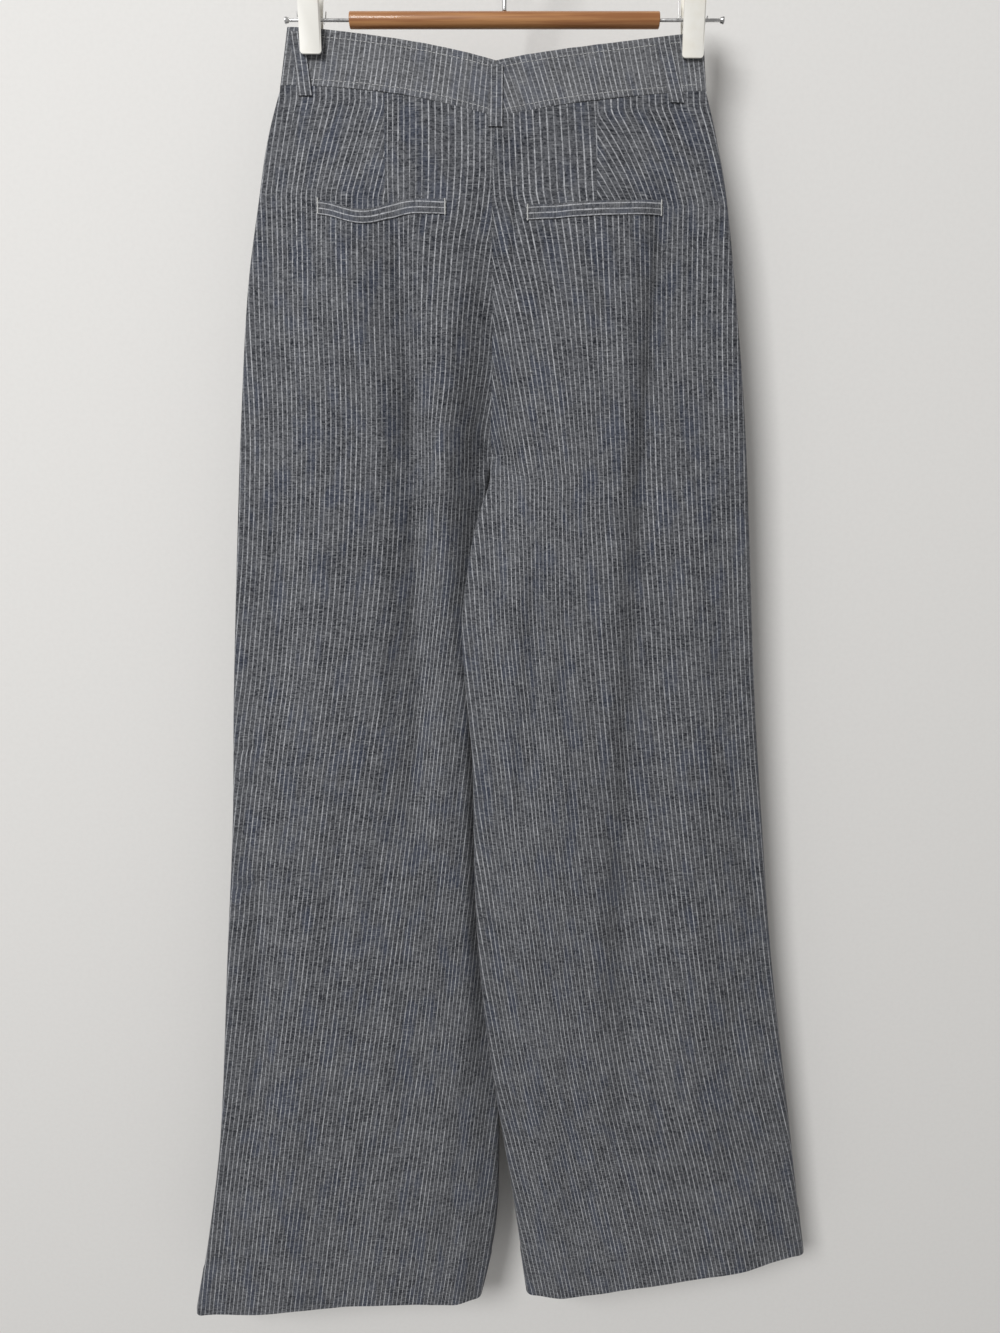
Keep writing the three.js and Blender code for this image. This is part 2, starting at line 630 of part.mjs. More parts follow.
// One jaw of a clip: a flat plate with round lower corners, whose handle bends outwards.
function clipPlate(clip, face) {
  const half = CLIP.width / 2;
  const outline = new THREE.Shape();
  const levels = [0, 1 / 3, 2 / 3].map((f) => lerp(CLIP.bendFrom, CLIP.top, f));
  outline.moveTo(-half + CLIP.corner, clip.bottom);
  outline.lineTo(half - CLIP.corner, clip.bottom);
  outline.absarc(half - CLIP.corner, clip.bottom + CLIP.corner, CLIP.corner, -Math.PI / 2, 0);
  for (const z of levels) outline.lineTo(half, z);
  outline.absarc(half - CLIP.corner, CLIP.top - CLIP.corner, CLIP.corner, 0, Math.PI / 2);
  outline.absarc(-half + CLIP.corner, CLIP.top - CLIP.corner, CLIP.corner, Math.PI / 2, Math.PI);
  for (const z of levels.toReversed()) outline.lineTo(-half, z);
  outline.absarc(-half + CLIP.corner, clip.bottom + CLIP.corner, CLIP.corner, Math.PI, 1.5 * Math.PI);
  const settings = { depth: CLIP.thickness, bevelEnabled: false, curveSegments: 4 };
  const geometry = new THREE.ExtrudeGeometry(outline, settings).rotateX(Math.PI / 2);
  const position = geometry.getAttribute("position");
  const inner = face === BACK ? clip.backY : clip.frontY;
  for (let i = 0; i < position.count; i++) {
    const z = position.getZ(i);
    const bent = CLIP.spread * smooth(share(z, CLIP.bendFrom, CLIP.top));
    const across = position.getY(i);
    const y = face === BACK ? across - inner - bent : across + CLIP.thickness + inner + bent;
    position.setY(i, y);
  }
  geometry.computeVertexNormals();
  const plate = mesh(`clip_${clip.side}_${face === BACK ? "back" : "front"}`, geometry, "plastic");
  plate.position.x = clip.x;
  return plate;
}

function clipSpring(clip) {
  const { inner, outer } = SPRING;
  const half = SPRING.length / 2;
  const corners = [[inner, -half], [outer, -half], [outer, half], [inner, half], [inner, -half]];
  const profile = corners.map(([x, y]) => new THREE.Vector2(x, y));
  const spring = mesh(`clip_spring_${clip.side}`, new THREE.LatheGeometry(profile, 16), "steel");
  spring.rotation.z = Math.PI / 2;
  spring.position.set(clip.x, 0, BAR.z);
  return spring;
}

function hanger() {
  const group = new THREE.Group();
  group.add(roundBar("hanger_bar", BAR.radius, -BAR.halfLength, BAR.halfLength, 24, "wood"));
  for (const side of [LEFT, RIGHT]) {
    const name = side === LEFT ? "left" : "right";
    const start = side * (BAR.halfLength + SEAM_GAP);
    const end = side * (BAR.halfLength + SEAM_GAP + ROD.length);
    group.add(roundBar(`hanger_rod_${name}`, ROD.radius, start, end, 12, "steel"));
    group.add(endCap(`hanger_cap_${name}`, side));
  }
  group.add(hook());
  for (const clip of CLIPS) {
    group.add(clipPlate(clip, BACK), clipPlate(clip, FRONT), clipSpring(clip));
  }
  return group;
}

function trousers() {
  const group = new THREE.Group();
  for (const side of [LEFT, RIGHT]) {
    group.add(...panel(side, BACK), ...panel(side, FRONT), waistband(side));
  }
  group.add(welt(LEFT), welt(RIGHT), flyLap(), waistbandButton());
  for (const loop of LOOPS) group.add(beltLoop(loop));
  return group;
}

const model = new THREE.Group();
model.add(trousers(), hanger());
export default model;
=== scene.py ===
"""Striped linen palazzo pants, hanging by both corners of the waistband from a bar hanger.

The cloth is worked out in millimetres from the garment's own sizes and turned into metres when
a mesh is made. +X is to the right seen from behind, +Y runs from the back to the front.
"""

import functools
import math
import random

import bmesh
import bpy
from mathutils import Matrix, Vector, noise
from mathutils.bvhtree import BVHTree


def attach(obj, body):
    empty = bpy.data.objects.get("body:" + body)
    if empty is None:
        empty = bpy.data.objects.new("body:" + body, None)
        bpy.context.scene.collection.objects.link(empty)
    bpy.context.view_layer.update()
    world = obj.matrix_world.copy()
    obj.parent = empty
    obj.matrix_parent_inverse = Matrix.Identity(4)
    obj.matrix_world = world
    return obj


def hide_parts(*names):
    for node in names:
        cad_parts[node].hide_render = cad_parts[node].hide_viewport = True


bl_info = {
    "name": "Palazzo pants on a clip hanger",
    "version": (1, 0, 0),
    "blender": (4, 5, 0),
    "location": "3D View > Sidebar > Trousers",
    "description": "Striped wide-legged trousers with their seams, stitches and hanger",
    "category": "Object",
}

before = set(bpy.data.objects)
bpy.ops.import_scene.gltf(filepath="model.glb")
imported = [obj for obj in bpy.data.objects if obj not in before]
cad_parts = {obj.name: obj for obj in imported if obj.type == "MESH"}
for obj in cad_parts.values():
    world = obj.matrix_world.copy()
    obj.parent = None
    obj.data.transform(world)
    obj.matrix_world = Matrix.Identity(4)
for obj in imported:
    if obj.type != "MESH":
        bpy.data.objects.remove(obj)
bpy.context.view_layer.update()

MM = 0.001
BACK, FRONT = -1, 1
LEFT, RIGHT = -1, 1
BODY = "root"

# The waistband's top edge: its two ends, pinched in the clips, and its dip at the centre back.
BAND = {
    "height": 41, "left_x": -166, "left_z": -95, "right_x": 152, "right_z": -99,
    "centre_x": -6.5, "centre_z": -122, "left_power": 1.6, "right_power": 1.3,
    "front_sag": 6, "left_flare": 7, "right_flare": 4, "side_fold": 1, "top_arch": 10,
    "pinched": 31, "turn": 125, "lap_length": 30, "lap_rise": 2.6, "lap_from": 22, "lap_full": 3,
    "steps": 76, "rows": 15, "fold_angles": (-54, -18, 18, 54),
}
# The waistband's small unevenness: its height, its size each way, and where it fades at the side.
BAND_RIPPLE = {"height": 0.5, "across": 11, "down": 3, "fade": 30}

# Outseams: where each side's edge hangs, and how far it swings to the front (+) or back (-).
SIDES = (
    ("z", "left_x", "left_y", "right_x", "right_y"),
    (-139, -174, 0, 156, 0),
    (-178, -185, 0, 166, 0),
    (-213, -192, 0, 174, 0),
    (-285, -205, 0, 185, 1),
    (-379, -215, 0, 197, 2),
    (-460, -222, 0, 205, 4),
    (-623, -234, -1, 219, 7),
    (-733, -240, -3, 231, 9),
    (-873, -252, -5, 248, 12),
    (-1047, -267, -7, 275, 14),
    (-1152, -283, -8, 291, 15),
    (-1240, -300, -8, 305, 15),
)

# Half depth of the cloth, and how far in from an outseam it takes to reach it.
DEPTHS = (
    ("z", "back", "front", "turn", "nose"),
    (-139, 15, 14, 150, 0),
    (-213, 19, 20, 115, 3),
    (-300, 20, 23, 95, 5),
    (-418, 20, 24, 90, 5),
    (-620, 18, 22, 85, 5),
    (-900, 16, 20, 80, 5),
    (-1240, 15, 19, 75, 5),
)

# Centre back and centre front seams, from the waistband down to the crotch.
CENTRE_SEAM = (
    ("z", "x", "back", "front", "left_turn", "right_turn"),
    (-161, -6.5, -15, 14, 30, 20),
    (-200, -9, -18, 18, 32, 20),
    (-250, -10, -14, 21, 36, 21),
    (-300, -9.5, -7, 22, 38, 22),
    (-350, -10, 0, 20, 40, 23),
    (-390, -11, 6, 15, 40, 26),
    (-418, -11, 10, 10, 40, 30),
)

# Inseams from the crotch down: the right leg swings in front of the left one.
LEFT_INSEAM = (
    ("z", "x", "y", "back_turn", "front_turn"),
    (-418, -11, 10, 40, 40),
    (-440, -14, 11, 40, 38),
    (-540, -15, 13, 34, 34),
    (-640, -20, 14, 17, 30),
    (-850, -19, 14, 17, 30),
    (-930, -11, 13, 26, 34),
    (-1000, -6, 12, 40, 40),
    (-1110, -6, 9, 40, 40),
    (-1160, -9, 8, 36, 38),
    (-1200, -16, 7, 30, 34),
    (-1240, -25, 6, 26, 30),
)
RIGHT_INSEAM = (
    ("z", "x", "y", "back_turn", "front_turn"),
    (-418, -11, 10, 30, 60),
    (-440, -11, -4, 34, 70),
    (-470, -21, -15, 40, 78),
    (-505, -28, -20, 45, 80),
    (-552, -34, -22, 50, 80),
    (-600, -32, -22, 50, 80),
    (-673, -26, -22, 50, 80),
    (-800, -24, -20, 50, 80),
    (-897, -18, -18, 50, 75),
    (-998, -6, -15, 45, 65),
    (-1092, 8, -12, 40, 50),
    (-1220, 25, -10, 36, 44),
)

CROTCH_Z, NOSE_START, LEAN_END, NOSE = -418, -440, -540, 5
WAIST_LEVEL, HEM_LEVEL, WAIST_DIP_END = -139, -1240, -330
HEMS = {
    LEFT: {"outer": -1243, "middle": -1230, "inner": -1236, "start": -900},
    RIGHT: {"outer": -1194, "middle": -1206, "inner": -1217, "start": -900},
}

# Soft folds: troughs whose line runs from x_top to x_bottom, bowed sideways in the middle.
FOLDS = (
    ("face", "top", "bottom", "x_top", "x_bottom", "bow", "depth", "left", "right"),
    (BACK, -165, -1010, 130, 106, -5, 11, 25, 75),
    (BACK, -190, -450, -98, -70, 4, 8, 34, 24),
    (BACK, -330, -800, -72, -78, 0, 8, 32, 24),
    (BACK, -410, -660, -188, -192, 2, 3, 18, 34),
    (BACK, -760, -1090, -222, -236, 4, 6, 26, 24),
    (BACK, -470, -760, 24, 16, 4, 4, 18, 26),
    (FRONT, -190, -980, -112, -122, 6, 9, 60, 26),
    (FRONT, -260, -820, -52, -64, 4, 6, 24, 26),
    (FRONT, -200, -1050, 96, 118, 5, 10, 26, 62),
    (FRONT, -560, -1000, 200, 222, 0, 5, 30, 26),
)

# Creases that only the finished cloth has.
CREASES = (
    ("face", "top", "bottom", "x_top", "x_bottom", "bow", "depth", "left", "right"),
    (BACK, -166, -400, 9, 5, 0, 3.2, 5, 6),
    (BACK, -200, -440, -86, -74, 2, 3.5, 11, 18),
    (BACK, -400, -700, -74, -76, 0, 3, 12, 18),
    (BACK, -200, -560, 126, 112, -3, 3, 9, 22),
    (BACK, -640, -720, 8, 14, 1, 2.4, 6, 9),
    (BACK, -520, -640, 46, 52, 2, 2.2, 10, 16),
    (BACK, -180, -330, 44, 30, 3, 1.6, 14, 12),
    (BACK, -240, -420, 82, 84, -4, 1.8, 12, 20),
    (BACK, -600, -780, 74, 88, 3, 2, 16, 12),
    (BACK, -640, -700, 180, 196, 2, 1.8, 12, 14),
    (BACK, -860, -1120, 118, 92, 6, 3, 16, 22),
    (BACK, -900, -1180, 210, 226, -4, 2, 18, 26),
    (BACK, -1010, -1190, 52, 66, 3, 1.8, 14, 20),
    (BACK, -160, -236, -120, -104, 2, 2, 12, 14),
    (BACK, -215, -300, -150, -158, 3, 1.6, 12, 16),
    (BACK, -300, -430, -128, -112, 4, 2, 18, 14),
    (BACK, -560, -660, -96, -104, 3, 1.8, 10, 18),
    (BACK, -700, -900, -140, -152, -3, 1.8, 22, 18),
    (BACK, -880, -1080, -92, -98, 4, 2, 16, 22),
    (BACK, -980, -1160, -176, -190, 4, 1.8, 20, 20),
    (BACK, -1000, -1200, -44, -52, 2, 2.4, 12, 18),
    (FRONT, -180, -330, 40, 34, 3, 2, 14, 12),
    (FRONT, -230, -420, -22, -30, 3, 2.6, 10, 14),
    (FRONT, -200, -330, -140, -150, 2, 1.6, 14, 14),
    (FRONT, -430, -640, 66, 72, 4, 2.2, 16, 18),
    (FRONT, -520, -700, -150, -160, 3, 2, 18, 16),
    (FRONT, -640, -860, 156, 170, 3, 2, 18, 22),
    (FRONT, -860, -1120, -84, -96, 4, 2.4, 16, 22),
    (FRONT, -900, -1160, 60, 78, 4, 2.2, 18, 20),
    (FRONT, -960, -1180, -200, -214, 3, 2, 20, 18),
    (FRONT, -300, -420, 130, 124, 2, 1.8, 14, 16),
)

# Short buckles across the cloth: the middle, its reach each way, its lean and its depth.
BUCKLES = (
    ("face", "x", "z", "half_length", "half_width", "lean", "depth"),
    (BACK, -224, -668, 26, 7, 18, 2.2),
    (BACK, -222, -700, 24, 8, -10, 2),
    (BACK, -228, -796, 24, 9, 14, 2.4),
    (BACK, 8, -640, 26, 8, 30, 2),
    (BACK, -34, -430, 22, 8, -26, 2),
    (BACK, 12, -452, 26, 9, 34, 2.6),
    (BACK, 0, -520, 22, 8, 38, 2),
    (BACK, 190, -720, 30, 9, -12, 1.6),
    (BACK, 160, -252, 22, 8, -20, 1.6),
    (BACK, -166, -262, 24, 8, 16, 1.4),
    (FRONT, 10, -440, 30, 9, 32, 2.8),
    (FRONT, -38, -446, 28, 9, -30, 2.8),
    (FRONT, -44, -404, 26, 8, -24, 2),
    (FRONT, 24, -396, 26, 8, 26, 2),
    (FRONT, 208, -700, 26, 9, -14, 2),
    (FRONT, -222, -742, 26, 9, 12, 2),
    (FRONT, -120, -640, 30, 9, 8, 1.4),
    (FRONT, 120, -880, 30, 9, -10, 1.6),
)
FOLD_FADE, FOLD_CLEAR, CREASE_CLEAR = 0.22, 30, 10
CREASE_START = 16  # creases reach their full depth this far under the waist seam

# The crumpling that linen keeps all over: the size of its dents each way, and their depth.
CRUMPLES = ((52, 80, 1.3), (21, 34, 0.5), (9, 12, 0.16))

# The lengthwise grain of each leg: the stripes run along this line, straight down the cloth.
GRAIN = (
    ("z", "left_x", "right_x"),
    (-139, -128, 104),
    (-300, -130, 110),
    (-400, -130, 114),
    (-500, -137, 121),
    (-600, -150, 130),
    (-700, -166, 142),
    (-800, -181, 156),
    (-900, -196, 172),
    (-1000, -211, 190),
    (-1100, -226, 211),
    (-1240, -246, 240),
)

# Cloth gained down the centre seam, where the stripes meet in an upturned V.
SPREAD = {
    LEFT: {"amount": 22, "width": 80, "top": -185, "bottom": -430},
    RIGHT: {"amount": 38, "width": 110, "top": -205, "bottom": -440},
}

TAKE_UP = 0.55  # the share of a fold's extra cloth that the stripes follow

# Darts: where the seam lies, its tip, the cloth it takes in at the waist, and the side of it
# that keeps to the grain line.
DARTS = {
    (LEFT, BACK): {"x": -92.5, "tip": -218, "intake": 20, "true_side": RIGHT},
    (RIGHT, BACK): {"x": 71.5, "tip": -223, "intake": 31, "true_side": LEFT},
    (LEFT, FRONT): {"x": -84, "tip": -206, "intake": 10, "true_side": RIGHT},
    (RIGHT, FRONT): {"x": 66, "tip": -206, "intake": 10, "true_side": LEFT},
}
DART_EASE = 70
DART_FADE, DART_LOSS = 110, 0.45  # how far to its side its pull has fallen, and by what share
DART_FULL = 10  # it takes in its whole intake from this far under the waist seam
DART_GROOVE = {"half_width": 2.6, "depth": 0.8, "fade": 20}  # the crease along a dart's seam

WELTS = {
    LEFT: {"from": -147, "to": -45, "start_z": -226, "end_z": -229, "sag": 8},
    RIGHT: {"from": 17, "to": 124, "start_z": -233, "end_z": -227, "sag": 0},
}
WELT_SAG_AT, WELT_SAG_REACH = 0.33, 0.22  # shares of the welt's length
WELT_HEIGHT = 10.7
LOOP_WIDTH, LOOP_TUCK, LOOP_BELOW = 10.8, 3.5, 8
# Strips of cloth: their lift off what they lie on, and the wall of the folded cloth.
PANEL_STRIP = {"lift": 0.25, "wall": 1.0}
LOOP_STRIP = {"lift": 0.75, "wall": 1.1}
# Flat cloth for each millimetre seen, each way, as a strip climbs over what is under it.
WELT_EASE, LOOP_EASE = (1.02, 1.03), (1.04, 1.06)
LOOPS = (
    ("name", "face", "top_x", "foot_x"),
    ("belt_loop_centre_back", BACK, -6.5, -7),
    ("belt_loop_back_left", BACK, -160, -154.5),
    ("belt_loop_back_right", BACK, 122, 134),
    ("belt_loop_front_left", FRONT, -92, -96),
    ("belt_loop_front_right", FRONT, 86, 92),
)
FLY = {
    "free_edge": -6, "width": 34, "narrowest": 4, "top": -172, "curve": -285, "bottom": -318,
    "flat": (36, 150),
}

SEAM_GAP = 0.3
SEAM_SHIFT = SEAM_GAP / 16  # how far each panel keeps from its seam's line
CLOTH_LIFT, CLOTH_WALL = 0.7, 0.9  # together, the thickness of the frame's own wall
BAND_LIFT, BAND_WALL = 0.2, 1.8
BAND_FAN = {LEFT: 0.0, RIGHT: 0.22, "width": 60}  # extra lean of its stripes at the centre back
BAND_LEAN = {LEFT: 0.42, RIGHT: 1.0}  # the share of the top edge's slope that they lean by
# Threads: the distance between stitches, each one's size, and how far off the cloth it lies.
BAND_STITCHES = {"pitch": 3.2, "length": 2.9, "thickness": 0.65, "lie": 0.12}
HEM_STITCHES = {"pitch": 5.5, "length": 1.6, "thickness": 0.35, "lie": 0.12}
BARTACK_STITCHES = {"pitch": 0.6, "length": 0.7, "thickness": 1.3, "lie": 1.35}
BAND_STITCH_DROPS, BAND_STITCH_MARGIN = (5.5, 36.5), 3  # under its top edge, and in from its ends
BARTACK_INSET, BARTACK_REACH = 1, 6
HEM_DEPTH = 50
HEM_STEP, HEM_EDGE = 0.8, 4  # how far the hem stands out, and the drop over which it does
ROD_Z = -90
CLIP_CENTRES = {LEFT: -148.5, RIGHT: 145}
# The clips' springs. The wire's ends, the ears, stand up from the coil and lean outwards and back.
COIL = {"wire": 0.5, "radius": 2.4, "length": 21, "turns": 7, "ear_lean": 0.8, "ear_back": 1.2}
COIL_EARS = {LEFT: (6.5, 6.5), RIGHT: (14, 3.5)}
# How far the edges of the hard pieces are rounded.
ROUNDING = {"bar": 0.8, "hook": 0.3, "rod": 0.2, "cap": 0.3, "jaw": 0.55, "button": 0.3}
PANEL_BANDS = ("seat", "rise", "thigh", "knee", "calf", "hem")
PANEL_GRID = {"columns": 92, "rows": 272, "crowding": 0.7}

SIDE_NAMES = {LEFT: "left", RIGHT: "right"}
FACE_NAMES = {BACK: "back", FRONT: "front"}


def lerp(a, b, f):
    return a + (b - a) * f


def clamp01(value):
    return min(1.0, max(0.0, value))


def smooth(value):
    v = clamp01(value)
    return v * v * (3 - 2 * v)


def share(value, start, end):
    return clamp01((value - start) / (end - start))


@functools.lru_cache(maxsize=None)
def column(table, name):
    """One column of a table, whose first row holds the names."""
    place = table[0].index(name)
    return tuple(row[place] for row in table[1:])


@functools.lru_cache(maxsize=None)
def rows_of(table):
    """The rows of a table, each with its names."""
    return tuple(dict(zip(table[0], row)) for row in table[1:])


def at(table, z, name):
    """A column of a table at height z, eased between its rows, which run from top to bottom."""
    levels, values = column(table, "z"), column(table, name)
    if z >= levels[0]:
        return values[0]
    if z < levels[-1]:
        return values[-1]
    last = len(levels) - 1
    i = next(k for k, level in enumerate(levels) if level <= z)

    def slope(k):
        a, b = max(0, k - 1), min(last, k + 1)
        return (values[b] - values[a]) / (levels[b] - levels[a])

    step = levels[i] - levels[i - 1]
    f = (z - levels[i - 1]) / step
    bend = f * (1 - f) * step * (slope(i - 1) * (1 - f) - slope(i) * f)
    return values[i - 1] * (1 + 2 * f) * (1 - f) ** 2 + values[i] * (3 - 2 * f) * f ** 2 + bend


def turn_back(distance, rise, width, nose):
    """How far a face has turned away from its full depth at this distance from a seam."""
    round_part = math.copysign(min(abs(rise), nose), rise)
    q = clamp01(distance / NOSE)
    nose_turn = 1 - math.sqrt(1 - (1 - q) ** 2)
    return round_part * nose_turn + (rise - round_part) * (1 - smooth(distance / width))


def band_top(face, x):
    """Top edge of the waistband, on the back and the front."""
    side = "left" if x < BAND["centre_x"] else "right"
    f = share(x, BAND[side + "_x"], BAND["centre_x"])
    sag = BAND["front_sag"] * smooth(f) if face == FRONT else 0
    end = BAND[side + "_z"]
    return end + (BAND["centre_z"] - end) * f ** BAND[side + "_power"] - sag


def waist_dip(face, x):
    return band_top(face, x) - BAND["height"] - SEAM_GAP - WAIST_LEVEL


def height_at(side, face, x, t, level):
    """A row's height: rows follow the waist seam at the top and the hem at the bottom."""
    hem = HEMS[side]
    slant = hem["outer"] * (1 - t) * (1 - 2 * t) + hem["inner"] * t * (2 * t - 1)
    slant += hem["middle"] * 4 * t * (1 - t)
    near_waist = 1 - smooth(share(level, WAIST_LEVEL, WAIST_DIP_END))
    near_hem = smooth(share(level, hem["start"], HEM_LEVEL))
    return level + waist_dip(face, x) * near_waist + (slant - HEM_LEVEL) * near_hem


def trough(fold, z):
    """Where a fold's line is at height z, and how deep it is there."""
    f = share(z, fold["top"], fold["bottom"])
    line = lerp(fold["x_top"], fold["x_bottom"], f) + fold["bow"] * 4 * f * (1 - f)
    return line, fold["depth"] * smooth(f / FOLD_FADE) * smooth((1 - f) / FOLD_FADE)


def trough_depth(folds, x):
    depth = 0.0
    for line, deep, left, right in folds:
        reach = abs(x - line) / (left if x < line else right)
        if reach < 1:
            depth += deep * (1 + math.cos(math.pi * reach)) / 2
    return depth


def troughs_near(table, face, z):
    """The folds of one face that cross the height z, with their depth there."""
    found = []
    for fold in rows_of(table):
        if fold["face"] == face and fold["bottom"] <= z <= fold["top"]:
            line, deep = trough(fold, z)
            found.append((line, deep, fold["left"], fold["right"]))
    return found


def buckle_depth(face, x, z):
    depth = 0.0
    for b in rows_of(BUCKLES):
        if b["face"] != face or abs(z - b["z"]) > b["half_length"]:
            continue
        lean = math.radians(b["lean"])
        dx, dz = x - b["x"], z - b["z"]
        along = (dx * math.cos(lean) + dz * math.sin(lean)) / b["half_length"]
        across = (dz * math.cos(lean) - dx * math.sin(lean)) / b["half_width"]
        if abs(along) < 1 and abs(across) < 1:
            ends = math.cos(math.pi * along / 2) ** 2
            depth += b["depth"] * ends * (1 + math.cos(math.pi * across)) / 2
    return depth


def crumple(face, x, z):
    """The uneven lie of linen, in millimetres towards the outside."""
    out = 0.0
    for across, along, depth in CRUMPLES:
        out += depth * noise.noise(Vector((x / across, z / along, 7.3 * face + across)))
    return out


def panel_row(side, face, level):
    """All that one row of a panel needs, from its outseam to the centre seam or inseam."""
    key, face_key = SIDE_NAMES[side], FACE_NAMES[face]
    inseam = LEFT_INSEAM if side == LEFT else RIGHT_INSEAM
    outer_z = height_at(side, face, BAND[key + "_x"], 0, level)
    inner_z = height_at(side, face, BAND["centre_x"], 1, level)
    joined = inner_z > CROTCH_Z
    seam = CENTRE_SEAM if joined else inseam
    if joined:
        turn = at(seam, inner_z, key + "_turn")
    else:
        opened = smooth(share(inner_z, CROTCH_Z, NOSE_START))
        below = at(inseam, min(inner_z, NOSE_START), face_key + "_turn")
        turn = lerp(at(CENTRE_SEAM, CROTCH_Z, key + "_turn"), below, opened)
    lean = 0 if joined else at(seam, inner_z, "y") * smooth(share(inner_z, CROTCH_Z, LEAN_END))
    return {
        "side": side, "face": face, "level": level, "inner_z": inner_z,
        "outer_x": at(SIDES, outer_z, key + "_x"),
        "outer_y": at(SIDES, outer_z, key + "_y"),
        "inner_x": at(seam, inner_z, "x"),
        "seam_y": at(seam, inner_z, face_key if joined else "y"),
        "lean": lean,
        "depth": at(DEPTHS, outer_z, face_key),
        "outer_turn": at(DEPTHS, outer_z, "turn"),
        "outer_nose": at(DEPTHS, outer_z, "nose"),
        "inner_turn": turn,
        "inner_nose": NOSE * share(inner_z, CROTCH_Z, NOSE_START) if not joined else 0,
        "folds": troughs_near(FOLDS, face, level),
        "creases": troughs_near(CREASES, face, level),
    }


def dart_groove(row, x, z):
    dart = DARTS[row["side"], row["face"]]
    near = 1 - abs(x - dart["x"]) / DART_GROOVE["half_width"]
    if near <= 0 or z <= dart["tip"]:
        return 0
    return DART_GROOVE["depth"] * near * smooth((z - dart["tip"]) / DART_GROOVE["fade"])


def panel_point(row, t):
    """The inner side of a panel, in millimetres: t runs from the outseam to the other seam."""
    side, face = row["side"], row["face"]
    x = lerp(row["outer_x"], row["inner_x"] + side * SEAM_SHIFT, t)
    from_outer, from_inner = abs(x - row["outer_x"]), abs(x - row["inner_x"])
    outer = turn_back(from_outer, row["depth"], row["outer_turn"], row["outer_nose"])
    rise = row["depth"] + face * (row["lean"] - row["seam_y"])
    inner = turn_back(from_inner, rise, row["inner_turn"], row["inner_nose"])
    soft = smooth(from_outer / FOLD_CLEAR) * smooth(from_inner / FOLD_CLEAR)
    fine = smooth(from_outer / CREASE_CLEAR) * smooth(from_inner / CREASE_CLEAR)
    z = height_at(side, face, x, t, row["level"])
    dents = trough_depth(row["creases"], x) + buckle_depth(face, x, z) - crumple(face, x, z)
    top = smooth(share(row["level"], WAIST_LEVEL, WAIST_LEVEL - CREASE_START))
    reach = row["depth"] - outer - inner - trough_depth(row["folds"], x) * soft
    reach -= dents * fine * top + dart_groove(row, x, z)
    y = lerp(row["outer_y"], row["lean"], t)
    return Vector((x, y + face * (reach + SEAM_SHIFT), z))


def grid_normals(grid, outward):
    """Outward normals of a grid of points that run from row to row and along each row."""
    rows, columns = len(grid), len(grid[0])
    normals = []
    for i in range(rows):
        up, low = grid[max(0, i - 1)], grid[min(rows - 1, i + 1)]
        line = []
        for j in range(columns):
            along = grid[i][min(columns - 1, j + 1)] - grid[i][max(0, j - 1)]
            normal = (low[j] - up[j]).cross(along) * outward
            if i in (0, rows - 1):
                normal.z = 0
            line.append(normal.normalized())
        normals.append(line)
    return normals


def moved_out(grid, normals, distance):
    return [[p + n * distance for p, n in zip(*pair)] for pair in zip(grid, normals)]


def arc_lengths(row):
    """The distance along a row of points from its first one."""
    total, lengths = 0.0, [0.0]
    for a, b in zip(row, row[1:]):
        total += (b - a).length
        lengths.append(total)
    return lengths


def deselect_all():
    if bpy.context.object and bpy.context.object.mode != "OBJECT":
        bpy.ops.object.mode_set(mode="OBJECT")
    bpy.ops.object.select_all(action="DESELECT")


def pick(piece):
    deselect_all()
    piece.select_set(True)
    bpy.context.view_layer.objects.active = piece


def apply_modifier(piece, kind, **settings):
    """Adds a modifier, sets it and applies it."""
    pick(piece)
    modifier = piece.modifiers.new(kind.title(), kind)
    for name, value in settings.items():
        setattr(modifier, name, value)
    bpy.ops.object.modifier_apply(modifier=modifier.name)


def round_edges(piece, width, segments=2, angle=60):
    """Rounds the edges of a piece that are sharper than an angle in degrees."""
    apply_modifier(
        piece, "BEVEL", width=width * MM, segments=segments, limit_method="ANGLE",
        angle_limit=math.radians(angle))


def finish_piece(piece, material, replaces=(), angle=50):
    """Gives a piece its finish and its place on the frame."""
    pick(piece)
    bpy.ops.object.shade_smooth_by_angle(angle=math.radians(angle))
    piece.data.materials.clear()
    piece.data.materials.append(material)
    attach(piece, BODY)
    if replaces:
        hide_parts(*replaces)
    return piece


def cloth_sheet(name, grid, wall, place_on_cloth, flip):
    """A wall of cloth over a grid of points in millimetres, grown outwards from it.

    place_on_cloth gives the point's place on the flat cloth for the face column it is used by.
    """
    rows, columns = len(grid), len(grid[0])
    deselect_all()
    bpy.ops.mesh.primitive_grid_add(x_subdivisions=columns - 1, y_subdivisions=rows - 1, size=1)
    piece = bpy.context.object
    piece.name = piece.data.name = name
    mesh = piece.data
    places = []
    for v in mesh.vertices:
        j = round((v.co.x + 0.5) * (columns - 1))
        i = round((0.5 - v.co.y) * (rows - 1))
        places.append((i, columns - 1 - j if flip else j))
    flat = [c * MM for i, j in places for c in grid[i][j]]
    mesh.vertices.foreach_set("co", flat)
    mesh.uv_layers[0].name = "cloth"
    uvs = []
    for face in mesh.polygons:
        corners = [places[v] for v in face.vertices]
        face_column = min(j for _, j in corners)
        for i, j in corners:
            u, v = place_on_cloth(i, j, face_column)
            uvs += [u * MM, v * MM]
    mesh.uv_layers[0].data.foreach_set("uv", uvs)
    mesh.update()
    apply_modifier(piece, "SOLIDIFY", thickness=wall * MM, offset=1, use_quality_normals=True)
    return piece


def sheet_area(grid):
    """Area of a grid of points, in square metres."""
    total = 0.0
    for up, low in zip(grid, grid[1:]):
        for a, b, c, d in zip(up, up[1:], low[1:], low):
            total += (c - a).cross(d - b).length / 2
    return total * MM * MM


